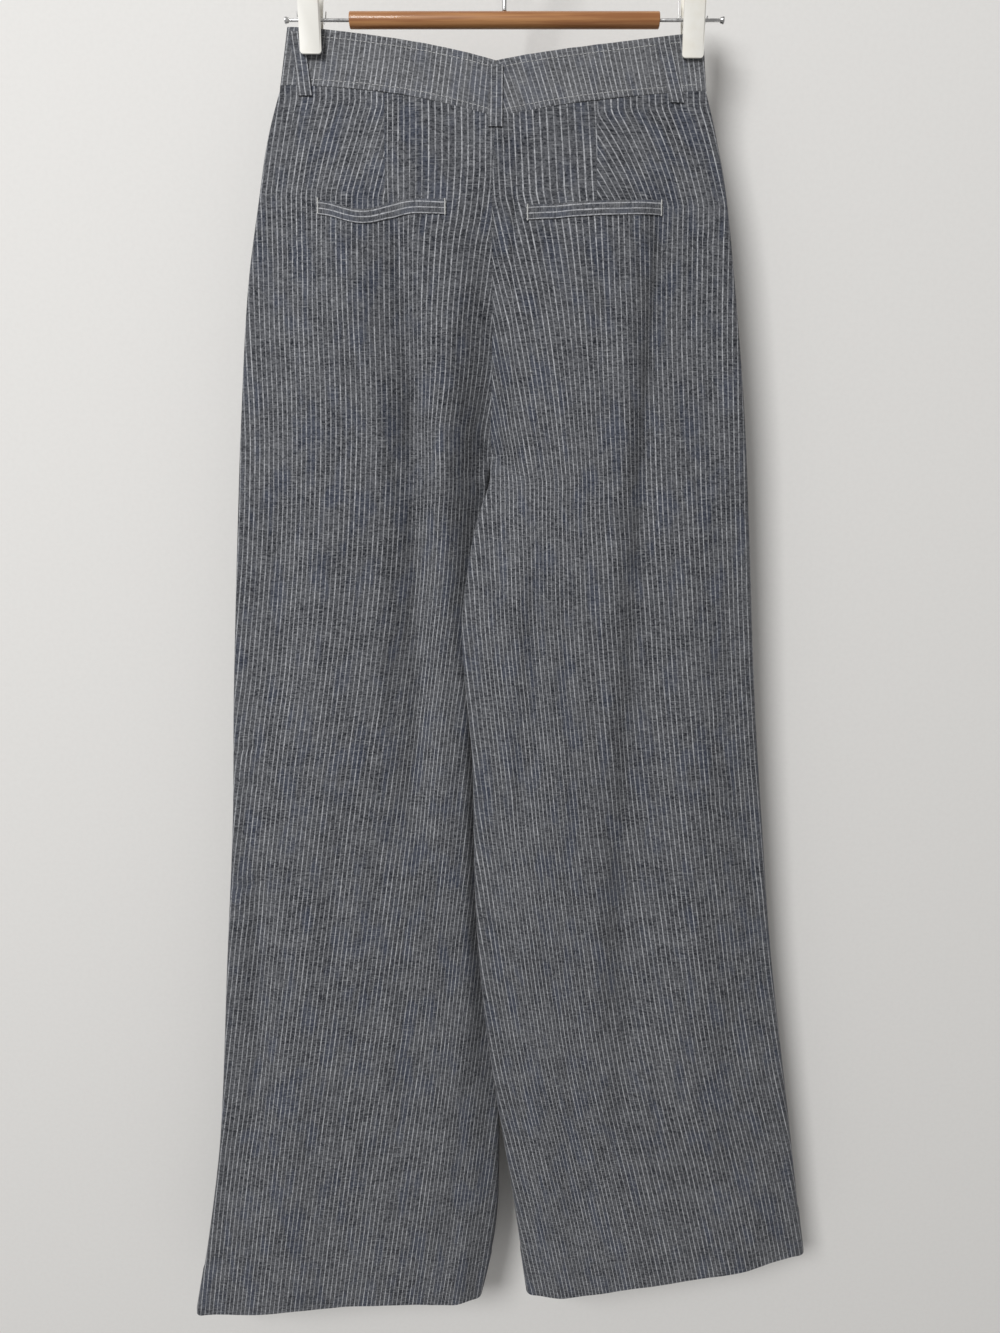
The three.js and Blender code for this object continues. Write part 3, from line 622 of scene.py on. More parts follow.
class Value:
    """A shader socket that takes part in sums as a number does."""

    def __init__(self, paint, socket):
        self.paint, self.socket = paint, socket

    def math(self, operation, *others):
        inputs = dict(enumerate((self, *others)))
        return self.paint.value(self.paint.node("ShaderNodeMath", {"operation": operation}, inputs))

    def __add__(self, other):
        return self.math("ADD", other)

    def __sub__(self, other):
        return self.math("SUBTRACT", other)

    def __rsub__(self, other):
        return self.math("MULTIPLY_ADD", -1.0, other)

    def __mul__(self, other):
        return self.math("MULTIPLY", other)

    def __truediv__(self, other):
        return self.math("DIVIDE", other)

    def floor(self):
        return self.math("FLOOR")

    def fraction(self):
        return self.math("FRACT")

    def size(self):
        return self.math("ABSOLUTE")

    def ramp(self, low, high, start=0.0, end=1.0):
        """Goes smoothly from start to end while this goes from low to high."""
        settings = {"interpolation_type": "SMOOTHSTEP"}
        inputs = {0: self, 1: low, 2: high, 3: start, 4: end}
        return self.paint.value(self.paint.node("ShaderNodeMapRange", settings, inputs))


class Paint:
    """A material's node tree, with the few moves that the finishes here are made of."""

    def __init__(self, name):
        self.material = bpy.data.materials.new(name)
        self.material.use_nodes = True
        self.tree = self.material.node_tree
        self.shader = self.tree.nodes["Principled BSDF"]

    def node(self, kind, settings=None, inputs=None):
        node = self.tree.nodes.new(kind)
        for name, value in (settings or {}).items():
            setattr(node, name, value)
        for name, value in (inputs or {}).items():
            self.feed(node.inputs[name], value)
        return node

    def feed(self, socket, value):
        if isinstance(value, Value):
            self.tree.links.new(value.socket, socket)
        elif isinstance(value, bpy.types.NodeSocket):
            self.tree.links.new(value, socket)
        else:
            socket.default_value = value

    def value(self, node, output=0):
        return Value(self, node.outputs[output])

    def point(self, x, y, z=0.0):
        return self.node("ShaderNodeCombineXYZ", inputs={0: x, 1: y, 2: z}).outputs[0]

    def noise(self, point, scale=1.0, detail=2.0, roughness=0.5):
        settings = {"noise_dimensions": "3D"}
        inputs = {"Vector": point, "Scale": scale, "Detail": detail, "Roughness": roughness}
        return self.value(self.node("ShaderNodeTexNoise", settings, inputs))

    def here(self):
        """The place on the piece, in metres."""
        return self.node("ShaderNodeTexCoord").outputs["Object"]

    def chance(self, point):
        settings = {"noise_dimensions": "3D"}
        return self.value(self.node("ShaderNodeTexWhiteNoise", settings, {"Vector": point}))

    def mix(self, share_of_b, a, b):
        settings = {"data_type": "RGBA", "clamp_factor": True}
        node = self.node("ShaderNodeMix", settings, {0: share_of_b, 6: a, 7: b})
        return node.outputs[2]

    def bump(self, height, distance, strength=1.0):
        inputs = {"Height": height, "Distance": distance, "Strength": strength}
        return self.node("ShaderNodeBump", inputs=inputs).outputs["Normal"]

    def finish(self, sockets):
        for name, value in sockets.items():
            self.feed(self.shader.inputs[name], value)
        return self.material


def grey(level):
    return (level, level, level, 1.0)


def linen(name, look, lightness=1.0, steady=0.0):
    """Charcoal chambray with uneven pale pinstripes along the cloth, in its own flat places."""
    paint = Paint(name)
    flat = paint.node("ShaderNodeUVMap", {"uv_map": "cloth"})
    split = paint.node("ShaderNodeSeparateXYZ", inputs={0: flat.outputs[0]})
    u, v = paint.value(split, 0) / MM, paint.value(split, 1) / MM

    slow = paint.noise(paint.point(u / 70, v / 150, 3.1), detail=2)
    quick = paint.noise(paint.point(u / 9, v / 16, 9.4), detail=1)
    bent = u + (slow - 0.5) * look.stripe_wander + (quick - 0.5) * 0.4
    count = bent / look.stripe_pitch
    stripe = count.floor()
    off_centre = (count.fraction() - 0.5).size() * look.stripe_pitch
    thin = paint.noise(paint.point(stripe * 7.31, v / 14, 1.7), detail=2)
    half = (thin - 0.5) * 0.55 + look.stripe_width / 2
    line = (half - off_centre).ramp(-0.22, 0.22)
    each = paint.chance(paint.point(stripe, 0.5, 0.5)).ramp(0, 1, lerp(0.72, 0.92, steady), 1)
    worn = paint.noise(paint.point(stripe * 13.7, v / 30, 5.2), detail=3)
    wear = worn.ramp(0.3, 0.6, lerp(0.55, 0.8, steady), 1)
    flecks = paint.noise(paint.point(u / 1.1, v / 1.7, 2.2), detail=2).ramp(0.34, 0.6, 0.42, 1)

    def patches(across, along, layer, low, high, detail=2, roughness=0.5):
        """Patches of this size in millimetres, from 0 where the noise is low to 1 where high."""
        point = paint.point(u / across, v / along, layer)
        return paint.noise(point, detail=detail, roughness=roughness).ramp(low, high)

    clouds = patches(26, 17, 4.4, 0.36, 0.62, detail=4)
    blue = patches(13, 34, 21.4, 0.48, 0.7, detail=3)
    streaks = patches(1.4, 7, 6.6, 0.4, 0.62, roughness=0.6)
    weft = patches(5.5, 1.4, 8.8, 0.44, 0.6, roughness=0.6)
    grains = patches(1.5, 1.7, 17.7, 0.4, 0.62)
    slubs = patches(9, 1.0, 12.1, 0.58, 0.74, detail=1)
    dashes = patches(8, 1.2, 31.3, 0.56, 0.68)
    dark = patches(1.5, 2.3, 15.8, 0.62, 0.72, detail=1)

    tone = clouds * 0.26 + streaks * 0.22 + grains * 0.52
    ground = paint.mix(tone, tuple(look.shade_colour), tuple(look.ground_colour))
    ground = paint.mix(weft * 0.5, ground, tuple(look.weft_colour))
    ground = paint.mix(blue * 0.45, ground, tuple(look.blue_colour))
    ground = paint.mix(slubs * 0.5, ground, tuple(look.slub_colour))
    ground = paint.mix(dashes * 0.6, ground, tuple(look.shade_colour))
    cloth = paint.mix(line * each * wear * flecks, ground, tuple(look.stripe_colour))
    cloth = paint.mix(dark * 0.55, cloth, tuple(look.speck_colour))
    if lightness > 1:
        cloth = paint.mix(lightness - 1.0, cloth, grey(0.8))
    threads = weft * 0.4 + streaks * 0.3 + grains * 0.4 + line * 0.3
    return paint.finish({
        "Base Color": cloth,
        "Roughness": 0.9,
        "Sheen Weight": 0.12,
        "Specular IOR Level": 0.2,
        "Normal": paint.bump(threads, 0.12 * MM, 0.7),
    })


def thread_finish(name, colour):
    paint = Paint(name)
    place = paint.here()
    fuzz = paint.noise(place, scale=1800, detail=2)
    shade = tuple(c * 0.75 for c in colour[:3]) + (1,)
    tone = paint.mix(fuzz.ramp(0.35, 0.65), shade, tuple(colour))
    return paint.finish({
        "Base Color": tone,
        "Roughness": 0.85,
        "Normal": paint.bump(fuzz, 0.05 * MM, 0.5),
    })


def wood_finish(look):
    paint = Paint("varnished dowel")
    place = paint.here()
    inputs = {"Vector": place, "Scale": (9, 260, 260)}
    drawn = paint.node("ShaderNodeMapping", inputs=inputs).outputs[0]
    grain = paint.noise(drawn, detail=4, roughness=0.6)
    rays = paint.noise(drawn, scale=3.5, detail=2)
    tone = paint.mix(grain.ramp(0.34, 0.68), tuple(look.wood_dark), tuple(look.wood_light))
    tone = paint.mix(rays.ramp(0.56, 0.72) * 0.4, tone, tuple(look.wood_dark))
    return paint.finish({
        "Base Color": tone,
        "Roughness": grain.ramp(0.3, 0.7, 0.38, 0.5),
        "Coat Weight": 0.35,
        "Normal": paint.bump(grain, 0.08 * MM, 0.4),
    })


def steel_finish():
    paint = Paint("plated steel wire")
    place = paint.here()
    wear = paint.noise(place, scale=160, detail=3)
    fine = paint.noise(place, scale=1500, detail=1)
    tone = paint.mix(wear.ramp(0.35, 0.7), grey(0.55), grey(0.8))
    return paint.finish({
        "Base Color": tone,
        "Metallic": 1.0,
        "Roughness": wear.ramp(0.3, 0.7, 0.22, 0.4),
        "Normal": paint.bump(fine, 0.02 * MM, 0.3),
    })


def plastic_finish(look):
    paint = Paint("off-white moulded plastic")
    place = paint.here()
    cloudy = paint.noise(place, scale=60, detail=3)
    grainy = paint.noise(place, scale=1400, detail=1)
    warm = tuple(c * f for c, f in zip(look.plastic_colour[:3], (0.93, 0.91, 0.87))) + (1,)
    tone = paint.mix(cloudy.ramp(0.4, 0.75), tuple(look.plastic_colour), warm)
    return paint.finish({
        "Base Color": tone,
        "Roughness": cloudy.ramp(0.3, 0.7, 0.34, 0.46),
        "Normal": paint.bump(grainy, 0.03 * MM, 0.3),
    })


def button_finish():
    paint = Paint("dark button")
    place = paint.here()
    swirl = paint.noise(place, scale=120, detail=4, roughness=0.65)
    dark, light = (0.025, 0.03, 0.04, 1), (0.11, 0.12, 0.14, 1)
    tone = paint.mix(swirl.ramp(0.35, 0.7), dark, light)
    return paint.finish({
        "Base Color": tone,
        "Roughness": swirl.ramp(0.3, 0.7, 0.26, 0.4),
        "Normal": paint.bump(swirl, 0.04 * MM, 0.4),
    })


def painted_wall(look):
    paint = Paint("painted wall")
    place = paint.here()
    roller = paint.noise(place, scale=260, detail=3)
    light = tuple(look.wall_colour)
    dim = tuple(c * 0.985 for c in light[:3]) + (1,)
    tone = paint.mix(roller.ramp(0.35, 0.7), light, dim)
    from_behind = paint.value(paint.node("ShaderNodeNewGeometry"), "Backfacing")
    return paint.finish({
        "Base Color": tone,
        "Alpha": 1.0 - from_behind,
        "Roughness": 0.9,
        "Normal": paint.bump(roller, 0.15 * MM, 0.25),
    })


def colour_property(name, description, default):
    return bpy.props.FloatVectorProperty(
        name=name, description=description, default=default, size=4, subtype="COLOR", min=0, max=1
    )


class ClothLook(bpy.types.PropertyGroup):
    stripe_pitch: bpy.props.FloatProperty(
        name="Stripe pitch", description="From one stripe to the next, in millimetres", default=4.1)
    stripe_width: bpy.props.FloatProperty(
        name="Stripe width", description="Width of a stripe, in millimetres", default=0.78)
    stripe_wander: bpy.props.FloatProperty(
        name="Stripe wander", description="How far stripes stray, in millimetres", default=1.6)
    ground_colour: colour_property("Ground", "Chambray between stripes", (0.134, 0.139, 0.151, 1))
    shade_colour: colour_property("Shade", "Its darker patches", (0.013, 0.015, 0.021, 1))
    weft_colour: colour_property("Weft", "Paler threads across", (0.152, 0.155, 0.168, 1))
    blue_colour: colour_property("Blue", "Its bluer patches", (0.05, 0.064, 0.105, 1))
    slub_colour: colour_property("Slubs", "Thick pale threads across", (0.3, 0.31, 0.32, 1))
    stripe_colour: colour_property("Stripes", "The pinstripes", (0.53, 0.54, 0.565, 1))
    speck_colour: colour_property("Specks", "Small dark specks", (0.01, 0.012, 0.016, 1))
    thread_colour: colour_property("Thread", "The bartacks", (0.74, 0.74, 0.72, 1))
    topstitch_colour: colour_property("Topstitch", "The waistband's stitches", (0.54, 0.545, 0.55, 1))


class HangerLook(bpy.types.PropertyGroup):
    wood_light: colour_property("Wood", "The bar's varnished wood", (0.5, 0.235, 0.085, 1))
    wood_dark: colour_property("Wood grain", "Its grain", (0.32, 0.125, 0.04, 1))
    plastic_colour: colour_property("Clips", "The clips' plastic", (0.9, 0.885, 0.83, 1))


class StageLook(bpy.types.PropertyGroup):
    wall_colour: colour_property("Wall", "The painted wall", (0.83, 0.82, 0.80, 1))
    lens: bpy.props.FloatProperty(
        name="Lens", description="Focal length", default=27.0, unit="CAMERA")
    tilt: bpy.props.FloatProperty(
        name="Tilt", description="How far the camera looks down", default=math.radians(11.31),
        subtype="ANGLE")
    key_strength: bpy.props.FloatProperty(
        name="Key light", description="Power of the window light", default=108.0, unit="POWER")
    room_colour: colour_property("Room", "The room's light", (1.0, 0.985, 0.97, 1))
    room_strength: bpy.props.FloatProperty(
        name="Room light", description="Brightness of the room", default=0.33)


CAMERA_PLACE = (-3.4, -851, -426.4)
WALL_BEHIND = 58  # the wall's place on Y
WALL_SIZE, WALL_MIDDLE = 6, -0.6  # in metres, the middle being its height
# The window, in metres: where it is, the place it faces, and its width and height.
WINDOW = {"place": (-1.6, -3.1, 1.3), "aim": (0, 0, -0.55), "width": 1.3, "height": 1.4}


@functools.lru_cache(maxsize=None)
def finishes():
    """Every material, made once."""
    cloth, hanger = bpy.context.scene.cloth_look, bpy.context.scene.hanger_look
    return {
        "cloth": linen("striped linen", cloth),
        "band": linen("striped linen of the waistband", cloth, 1.05),
        "trim": linen("striped linen of the trim", cloth, 1.03, steady=1.0),
        "thread": thread_finish("pale thread", cloth.thread_colour),
        "topstitch": thread_finish("topstitching thread", cloth.topstitch_colour),
        "hem_thread": thread_finish("blue-grey thread", cloth.weft_colour),
        "wood": wood_finish(hanger),
        "steel": steel_finish(),
        "plastic": plastic_finish(hanger),
        "button": button_finish(),
    }


def column_places(side, face):
    """Even places along a row, closer together at its seams, and the column of its dart."""
    count = PANEL_GRID["columns"]
    crowding = PANEL_GRID["crowding"] / (2 * math.pi)
    places = [j / count - crowding * math.sin(2 * math.pi * j / count) for j in range(count + 1)]
    dart = DARTS[side, face]
    row = panel_row(side, face, (WAIST_LEVEL + dart["tip"]) / 2)
    wanted = (dart["x"] - row["outer_x"]) / (row["inner_x"] - row["outer_x"])
    nearest = min(range(count + 1), key=lambda j: abs(places[j] - wanted))
    return places, nearest


def row_places(row, places, seam_column):
    """The row's places, moved so that one column runs along the dart's seam."""
    dart = DARTS[row["side"], row["face"]]
    wanted = (dart["x"] - row["outer_x"]) / (row["inner_x"] - row["outer_x"])
    hold = smooth((row["level"] - dart["tip"] + DART_EASE) / DART_EASE)
    shift = (wanted - places[seam_column]) * hold
    last = len(places) - 1
    return [
        t + shift * min(j / seam_column, (last - j) / (last - seam_column))
        for j, t in enumerate(places)
    ]


def grain_places(row, points):
    """Where a row's points lie across the flat cloth, from its leg's grain line."""
    side, face = row["side"], row["face"]
    flat = [side * (points[0].x - p.x) for p in points]
    arcs = [lerp(a, b, TAKE_UP) for a, b in zip(flat, arc_lengths(points))]
    grain_x = at(GRAIN, row["level"], SIDE_NAMES[side] + "_x")
    i = next(k for k, p in enumerate(points) if side * (p.x - grain_x) <= 0)
    f = share(grain_x, points[i - 1].x, points[i].x)
    start = lerp(arcs[i - 1], arcs[i], f)
    spread = SPREAD[side]
    opened = share(row["level"], spread["top"], spread["bottom"]) - 0.5
    inner_x = points[-1].x
    places = []
    for arc, p in zip(arcs, points):
        pull = 1 - smooth(abs(p.x - inner_x) / spread["width"])
        places.append(side * (start - arc) - side * spread["amount"] * opened * pull)
    return places


def hem_top(side, face, x):
    """The height of the upper edge of the turned-up hem."""
    row = panel_row(side, face, HEM_LEVEL)
    t = share(x, row["outer_x"], row["inner_x"])
    return height_at(side, face, x, t, HEM_LEVEL) + HEM_DEPTH


def leg_panel(side, face):
    """One back or front of a leg, from the waist seam to its hem."""
    places, seam_column = column_places(side, face)
    count = PANEL_GRID["rows"]
    levels = [lerp(WAIST_LEVEL, HEM_LEVEL, i / count) for i in range(count + 1)]
    rows = [panel_row(side, face, level) for level in levels]
    grid = [[panel_point(row, t) for t in row_places(row, places, seam_column)] for row in rows]
    normals = grid_normals(grid, side * face)
    outside = CLOTH_LIFT + CLOTH_WALL
    for line, facing in zip(grid, normals):
        line[0].y += face * outside * max(0, -face * facing[0].y)
        if line[-1].z > CROTCH_Z - 1:
            line[-1].x += side * outside * max(0, -side * facing[-1].x)
        else:
            line[-1].y += face * outside * max(0, -face * facing[-1].y)
    under = moved_out(grid, normals, CLOTH_LIFT)
    for line, facing in zip(under, normals):
        for p, way in zip(line, facing):
            above_hem = p.z - hem_top(side, face, p.x)
            p += way * HEM_STEP * (1 - smooth(above_hem / HEM_EDGE + 0.5))
    across = [grain_places(row, line) for row, line in zip(rows, under)]
    dart = DARTS[side, face]
    full = WAIST_LEVEL - DART_FULL
    taken = [dart["intake"] * share(level, dart["tip"], full) for level in levels]
    outer_is_taken = side == -dart["true_side"]

    def place_on_cloth(i, j, face_column):
        beyond = 0
        if (face_column < seam_column) == outer_is_taken:
            away = abs(under[i][j].x - dart["x"]) / DART_FADE
            beyond = -dart["true_side"] * taken[i] * (1 - DART_LOSS * smooth(away))
        return across[i][j] + beyond, -under[i][j].z

    name = f"{FACE_NAMES[face]}_{SIDE_NAMES[side]}"
    piece = cloth_sheet(f"leg_{name}", under, CLOTH_WALL, place_on_cloth, side * face < 0)
    bands = [f"panel_{name}_{band}" for band in PANEL_BANDS]
    finish_piece(piece, finishes()["cloth"], bands)
    widest = max(arc_lengths(line)[-1] for line in under) * MM
    longest = max(a.z for a in under[0]) * MM - min(a.z for a in under[-1]) * MM
    declare_cloth(under, widest, longest)
    return piece


def declare_cloth(grid, width, length):
    """Works out a sheet's area in square metres, which its flat size in metres limits."""
    area = round(min(sheet_area(grid), width * length), 4)


def band_point(side, face, t, h, lap):
    """The inner side of the waistband, h from its top edge (0) to the waist seam (1)."""
    key = SIDE_NAMES[side]
    side_x = BAND[key + "_x"] + side * BAND[key + "_flare"] * h
    end = BAND["centre_x"] + side * (SEAM_SHIFT - lap)
    x = lerp(side_x, end, t)
    arch = lerp(BAND["top_arch"], at(DEPTHS, WAIST_LEVEL, "back") - BAND["side_fold"], h)
    free = abs(x - side_x) - BAND["pinched"] * (1 - h ** 2)
    reach = BAND["side_fold"] + arch * smooth(free / BAND["turn"])
    climb = share(x, BAND["centre_x"] + BAND["lap_from"], BAND["centre_x"] + BAND["lap_full"])
    over = BAND["lap_rise"] * smooth(climb) if lap > 0 else 0
    uneven = noise.noise(Vector((x / BAND_RIPPLE["across"], BAND_RIPPLE["down"] * h, 5.0 + face)))
    ripple = BAND_RIPPLE["height"] * uneven * smooth(free / BAND_RIPPLE["fade"])
    return Vector((x, face * (reach + over + ripple), band_top(face, x) - h * BAND["height"]))


def waistband_half(side):
    """One half of the waistband, from the centre back round the side to the centre front."""
    lap = BAND["lap_length"] if side == RIGHT else 0
    steps = [k / BAND["steps"] for k in range(BAND["steps"] + 1)]
    heights = [k / BAND["rows"] for k in range(BAND["rows"] + 1)]
    grid = []
    for h in heights:
        back = [band_point(side, BACK, 1 - s, h, 0) for s in steps]
        front = [band_point(side, FRONT, s, h, lap) for s in steps]
        folded = []
        for angle in map(math.radians, BAND["fold_angles"]):
            p = band_point(side, FRONT, 0, h, 0)
            p.x += side * BAND["side_fold"] * math.cos(angle)
            p.y = BAND["side_fold"] * math.sin(angle)
            folded.append(p)
        grid.append(back + folded + front)
    under = moved_out(grid, grid_normals(grid, side), BAND_LIFT)
    arcs = arc_lengths(under[len(under) // 2])
    tops = under[0]
    last = len(tops) - 1

    def slope(j):
        a, b = max(0, j - 3), min(last, j + 3)
        return (tops[b].z - tops[a].z) / (arcs[b] - arcs[a])

    slopes = [slope(j) for j in range(last + 1)]

    def place_on_cloth(i, j, _):
        fan = BAND_FAN[side] * math.exp(-arcs[j] / BAND_FAN["width"])
        lean = (slopes[j] * BAND_LEAN[side] + fan) * heights[i] * BAND["height"]
        return -side * (arcs[j] - lean), heights[i] * BAND["height"]

    key = SIDE_NAMES[side]
    piece = cloth_sheet(f"waistband_cloth_{key}", under, BAND_WALL, place_on_cloth, side > 0)
    round_edges(piece, 0.7)
    finish_piece(piece, finishes()["band"], [f"waistband_{key}"])
    declare_cloth(under, arcs[-1] * MM, BAND["height"] * MM)
    return piece


class ClothUnder:
    """Feels for the outside of the cloth that strips and stitches lie on."""

    def __init__(self, pieces):
        self.trees = [BVHTree.FromObject(p, bpy.context.evaluated_depsgraph_get()) for p in pieces]

    def hit(self, face, x, z):
        """The outermost point of one face at (x, z), in millimetres, and its normal."""
        start, way = Vector((x * MM, face * 0.3, z * MM)), Vector((0, -face, 0))
        found = [tree.ray_cast(start, way) for tree in self.trees]
        found = [(p, n) for p, n, _, _ in found if p is not None]
        if not found:
            return None
        place, normal = max(found, key=lambda f: face * f[0].y)
        return place / MM, normal

    def reach(self, face, x, z):
        near = [self.hit(face, x + dx, z) for dx in (-0.5, 0, 0.5)]
        return max(face * n[0].y for n in near if n is not None)


def laid_strip(name, face, places, strip, stripes_along, node, flat):
    """A flat strip of cloth over a grid of (x, z) places, laid on what is under it."""
    under = cloth_under()

    def laid(x, z):
        return Vector((x, face * (under.reach(face, x, z) + strip["lift"]), z))

    grid = [[laid(x, z) for x, z in line] for line in places]
    for _ in range(2):
        grid = settled(grid, face)
    widths = arc_lengths(grid[len(grid) // 2])
    drops = arc_lengths([line[len(line) // 2] for line in grid])

    def place_on_cloth(i, j, _):
        return (widths[j], drops[i]) if stripes_along else (drops[i], widths[j])

    piece = cloth_sheet(name, grid, strip["wall"], place_on_cloth, face > 0)
    round_edges(piece, 0.3)
    finish_piece(piece, finishes()["trim"], [node])
    declare_cloth(grid, flat[0] * MM, flat[1] * MM)
    return piece


def settled(grid, face):
    """Evens a strip out a little without letting it sink into what it lies on."""
    made = [[p.copy() for p in line] for line in grid]
    for i in range(1, len(grid) - 1):
        for j in range(1, len(grid[0]) - 1):
            near = (grid[i - 1][j].y + grid[i + 1][j].y + grid[i][j - 1].y + grid[i][j + 1].y) / 4
            made[i][j].y = face * max(face * grid[i][j].y, face * near)
    return made


@functools.lru_cache(maxsize=None)
def cloth_under():
    names = [f"leg_{f}_{s}" for f in FACE_NAMES.values() for s in SIDE_NAMES.values()]
    names += [f"waistband_cloth_{s}" for s in SIDE_NAMES.values()]
    return ClothUnder([bpy.data.objects[name] for name in names])


def pocket_welt(side):
    w = WELTS[side]
    rows, columns = 6, 64
    places = []
    for i in range(rows + 1):
        line = []
        for j in range(columns + 1):
            f = j / columns
            sag = w["sag"] * math.exp(-(((f - WELT_SAG_AT) / WELT_SAG_REACH) ** 2))
            z = lerp(w["start_z"], w["end_z"], f) - sag
            line.append((lerp(w["from"], w["to"], f), z + (0.5 - i / rows) * WELT_HEIGHT))
        places.append(line)
    key = SIDE_NAMES[side]
    length = w["to"] - w["from"]
    return laid_strip(
        f"welt_{key}", BACK, places, PANEL_STRIP, False, f"pocket_welt_{key}",
        (length * WELT_EASE[0], WELT_HEIGHT * WELT_EASE[1]))


def belt_loop(row):
    """A belt loop, tucked under the waistband's edge and sewn down under the waist seam."""
    face = row["face"]
    top = band_top(face, row["top_x"]) - LOOP_TUCK
    foot = band_top(face, row["foot_x"]) - BAND["height"] - LOOP_BELOW
    rows, columns = 28, 8
    places = []
    for i in range(rows + 1):
        f = i / rows
        x = lerp(row["top_x"], row["foot_x"], f)
        across = [(j / columns - 0.5) * LOOP_WIDTH for j in range(columns + 1)]
        places.append([(x + a, lerp(top, foot, f)) for a in across])
    key = "left" if row["top_x"] < BAND["centre_x"] else "right"
    return laid_strip(
        row["name"] + "_cloth", face, places, LOOP_STRIP, True, row["name"],
        (LOOP_WIDTH * LOOP_EASE[0], (top - foot) * LOOP_EASE[1]))


def fly_lap():
    rows, columns = 48, 14
    places = []
    for i in range(rows + 1):
        z = lerp(FLY["top"], FLY["bottom"], (i / rows) ** 0.6)
        free = at(CENTRE_SEAM, z, "x") + FLY["free_edge"]
        rounded = math.sqrt(max(0, 1 - share(z, FLY["curve"], FLY["bottom"]) ** 2))
        width = max(FLY["width"] * rounded, FLY["narrowest"])
        places.append([(free + width * j / columns, z) for j in range(columns + 1)])
    return laid_strip(
        "fly_lap_cloth", FRONT, places, PANEL_STRIP, True, "fly_lap", FLY["flat"])


def stitch_shape():
    """One stitch: a short thread with both ends drawn in."""
    deselect_all()
    bpy.ops.mesh.primitive_ico_sphere_add(subdivisions=1, radius=0.5)
    shape = bpy.context.object
    edit_whole(shape, bpy.ops.transform.resize, value=(1.1, 1, 1))
    mesh = shape.data.copy()
    bpy.data.objects.remove(shape)
    return mesh


def along_line(line, pitch):
    """Places at an even pitch along a line of points, each with the line's direction there."""
    out, travelled = [], pitch / 2
    for a, b in zip(line, line[1:]):
        span = (b - a).length
        while travelled < span:
            out.append((a.lerp(b, travelled / span), (b - a).normalized()))
            travelled += pitch
        travelled -= span
    return out


def stitches(name, lines, thread, finish):
    """Thread stitches along lines of (x, z) places on one face, all in one piece."""
    under, shape, batch = cloth_under(), stitch_shape(), bmesh.new()
    loose = random.Random(name)
    for face, line in lines:
        for place, way in along_line([Vector((x, 0, z)) for x, z in line], thread["pitch"]):
            found = under.hit(face, place.x, place.z)
            if found is None:
                continue
            spot, normal = found
            ahead = (way - normal * way.dot(normal)).normalized()
            side_way = normal.cross(ahead)
            thickness = thread["thickness"]
            size = thread["length"] * loose.uniform(0.88, 1.08), thickness, thickness * 0.8
            axes = [axis * s for axis, s in zip((ahead, side_way, normal), size)]
            turn = Matrix(axes).transposed().to_4x4()
            centre = spot + normal * thread["lie"] + side_way * loose.uniform(-0.12, 0.12)
            before = len(batch.verts)
            batch.from_mesh(shape)
            batch.verts.ensure_lookup_table()
            move = Matrix.Scale(MM, 4) @ Matrix.Translation(centre) @ turn
            bmesh.ops.transform(batch, matrix=move, verts=batch.verts[before:])
    mesh = bpy.data.meshes.new(name)
    batch.to_mesh(mesh)
    batch.free()
    bpy.data.meshes.remove(shape)
    piece = bpy.data.objects.new(name, mesh)
    bpy.context.scene.collection.objects.link(piece)
    return finish_piece(piece, finishes()[finish], angle=80)


def band_line(face, drop):
    """A line along the waistband at a distance under its top edge."""
    left = BAND["left_x"] + BAND_STITCH_MARGIN
    right = BAND["right_x"] - BAND_STITCH_MARGIN
    return [(x, band_top(face, x) - drop) for x in (lerp(left, right, k / 90) for k in range(91))]


def hem_line(side, face):
    """A line just under the hem's upper edge, from seam to seam."""
    row = panel_row(side, face, HEM_LEVEL)
    places = [lerp(row["outer_x"], row["inner_x"], lerp(0.02, 0.98, k / 60)) for k in range(61)]
    return [(x, hem_top(side, face, x) - HEM_EDGE) for x in places]


def dressed_copy(name, node, bevel, material):
    """A finer copy of a hard piece of the frame, with its edges rounded."""
    piece = bpy.data.objects.new(name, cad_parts[node].data.copy())
    bpy.context.scene.collection.objects.link(piece)
    edit_whole(piece, bpy.ops.mesh.remove_doubles, threshold=0.01 * MM)
    edit_whole(piece, bpy.ops.mesh.dissolve_limited, angle_limit=math.radians(1))
    round_edges(piece, bevel, segments=3, angle=40)
    return finish_piece(piece, finishes()[material], [node], angle=40)


def edit_whole(piece, move, **settings):
    """Makes one edit-mode move on the whole of a piece."""
    pick(piece)
    bpy.ops.object.mode_set(mode="EDIT")
    bpy.ops.mesh.select_all(action="SELECT")
    move(**settings)
    bpy.ops.object.mode_set(mode="OBJECT")


def straight_wire(start, end, radius):
    """A round wire from one place to another, in millimetres."""
    way = end - start
    deselect_all()
    bpy.ops.mesh.primitive_cylinder_add(
        vertices=10, radius=radius * MM, depth=way.length * MM, location=(start + end) / 2 * MM,
        rotation=way.to_track_quat("Z", "Y").to_euler())
    bpy.ops.object.transform_apply(location=True, rotation=True)
    return bpy.context.object


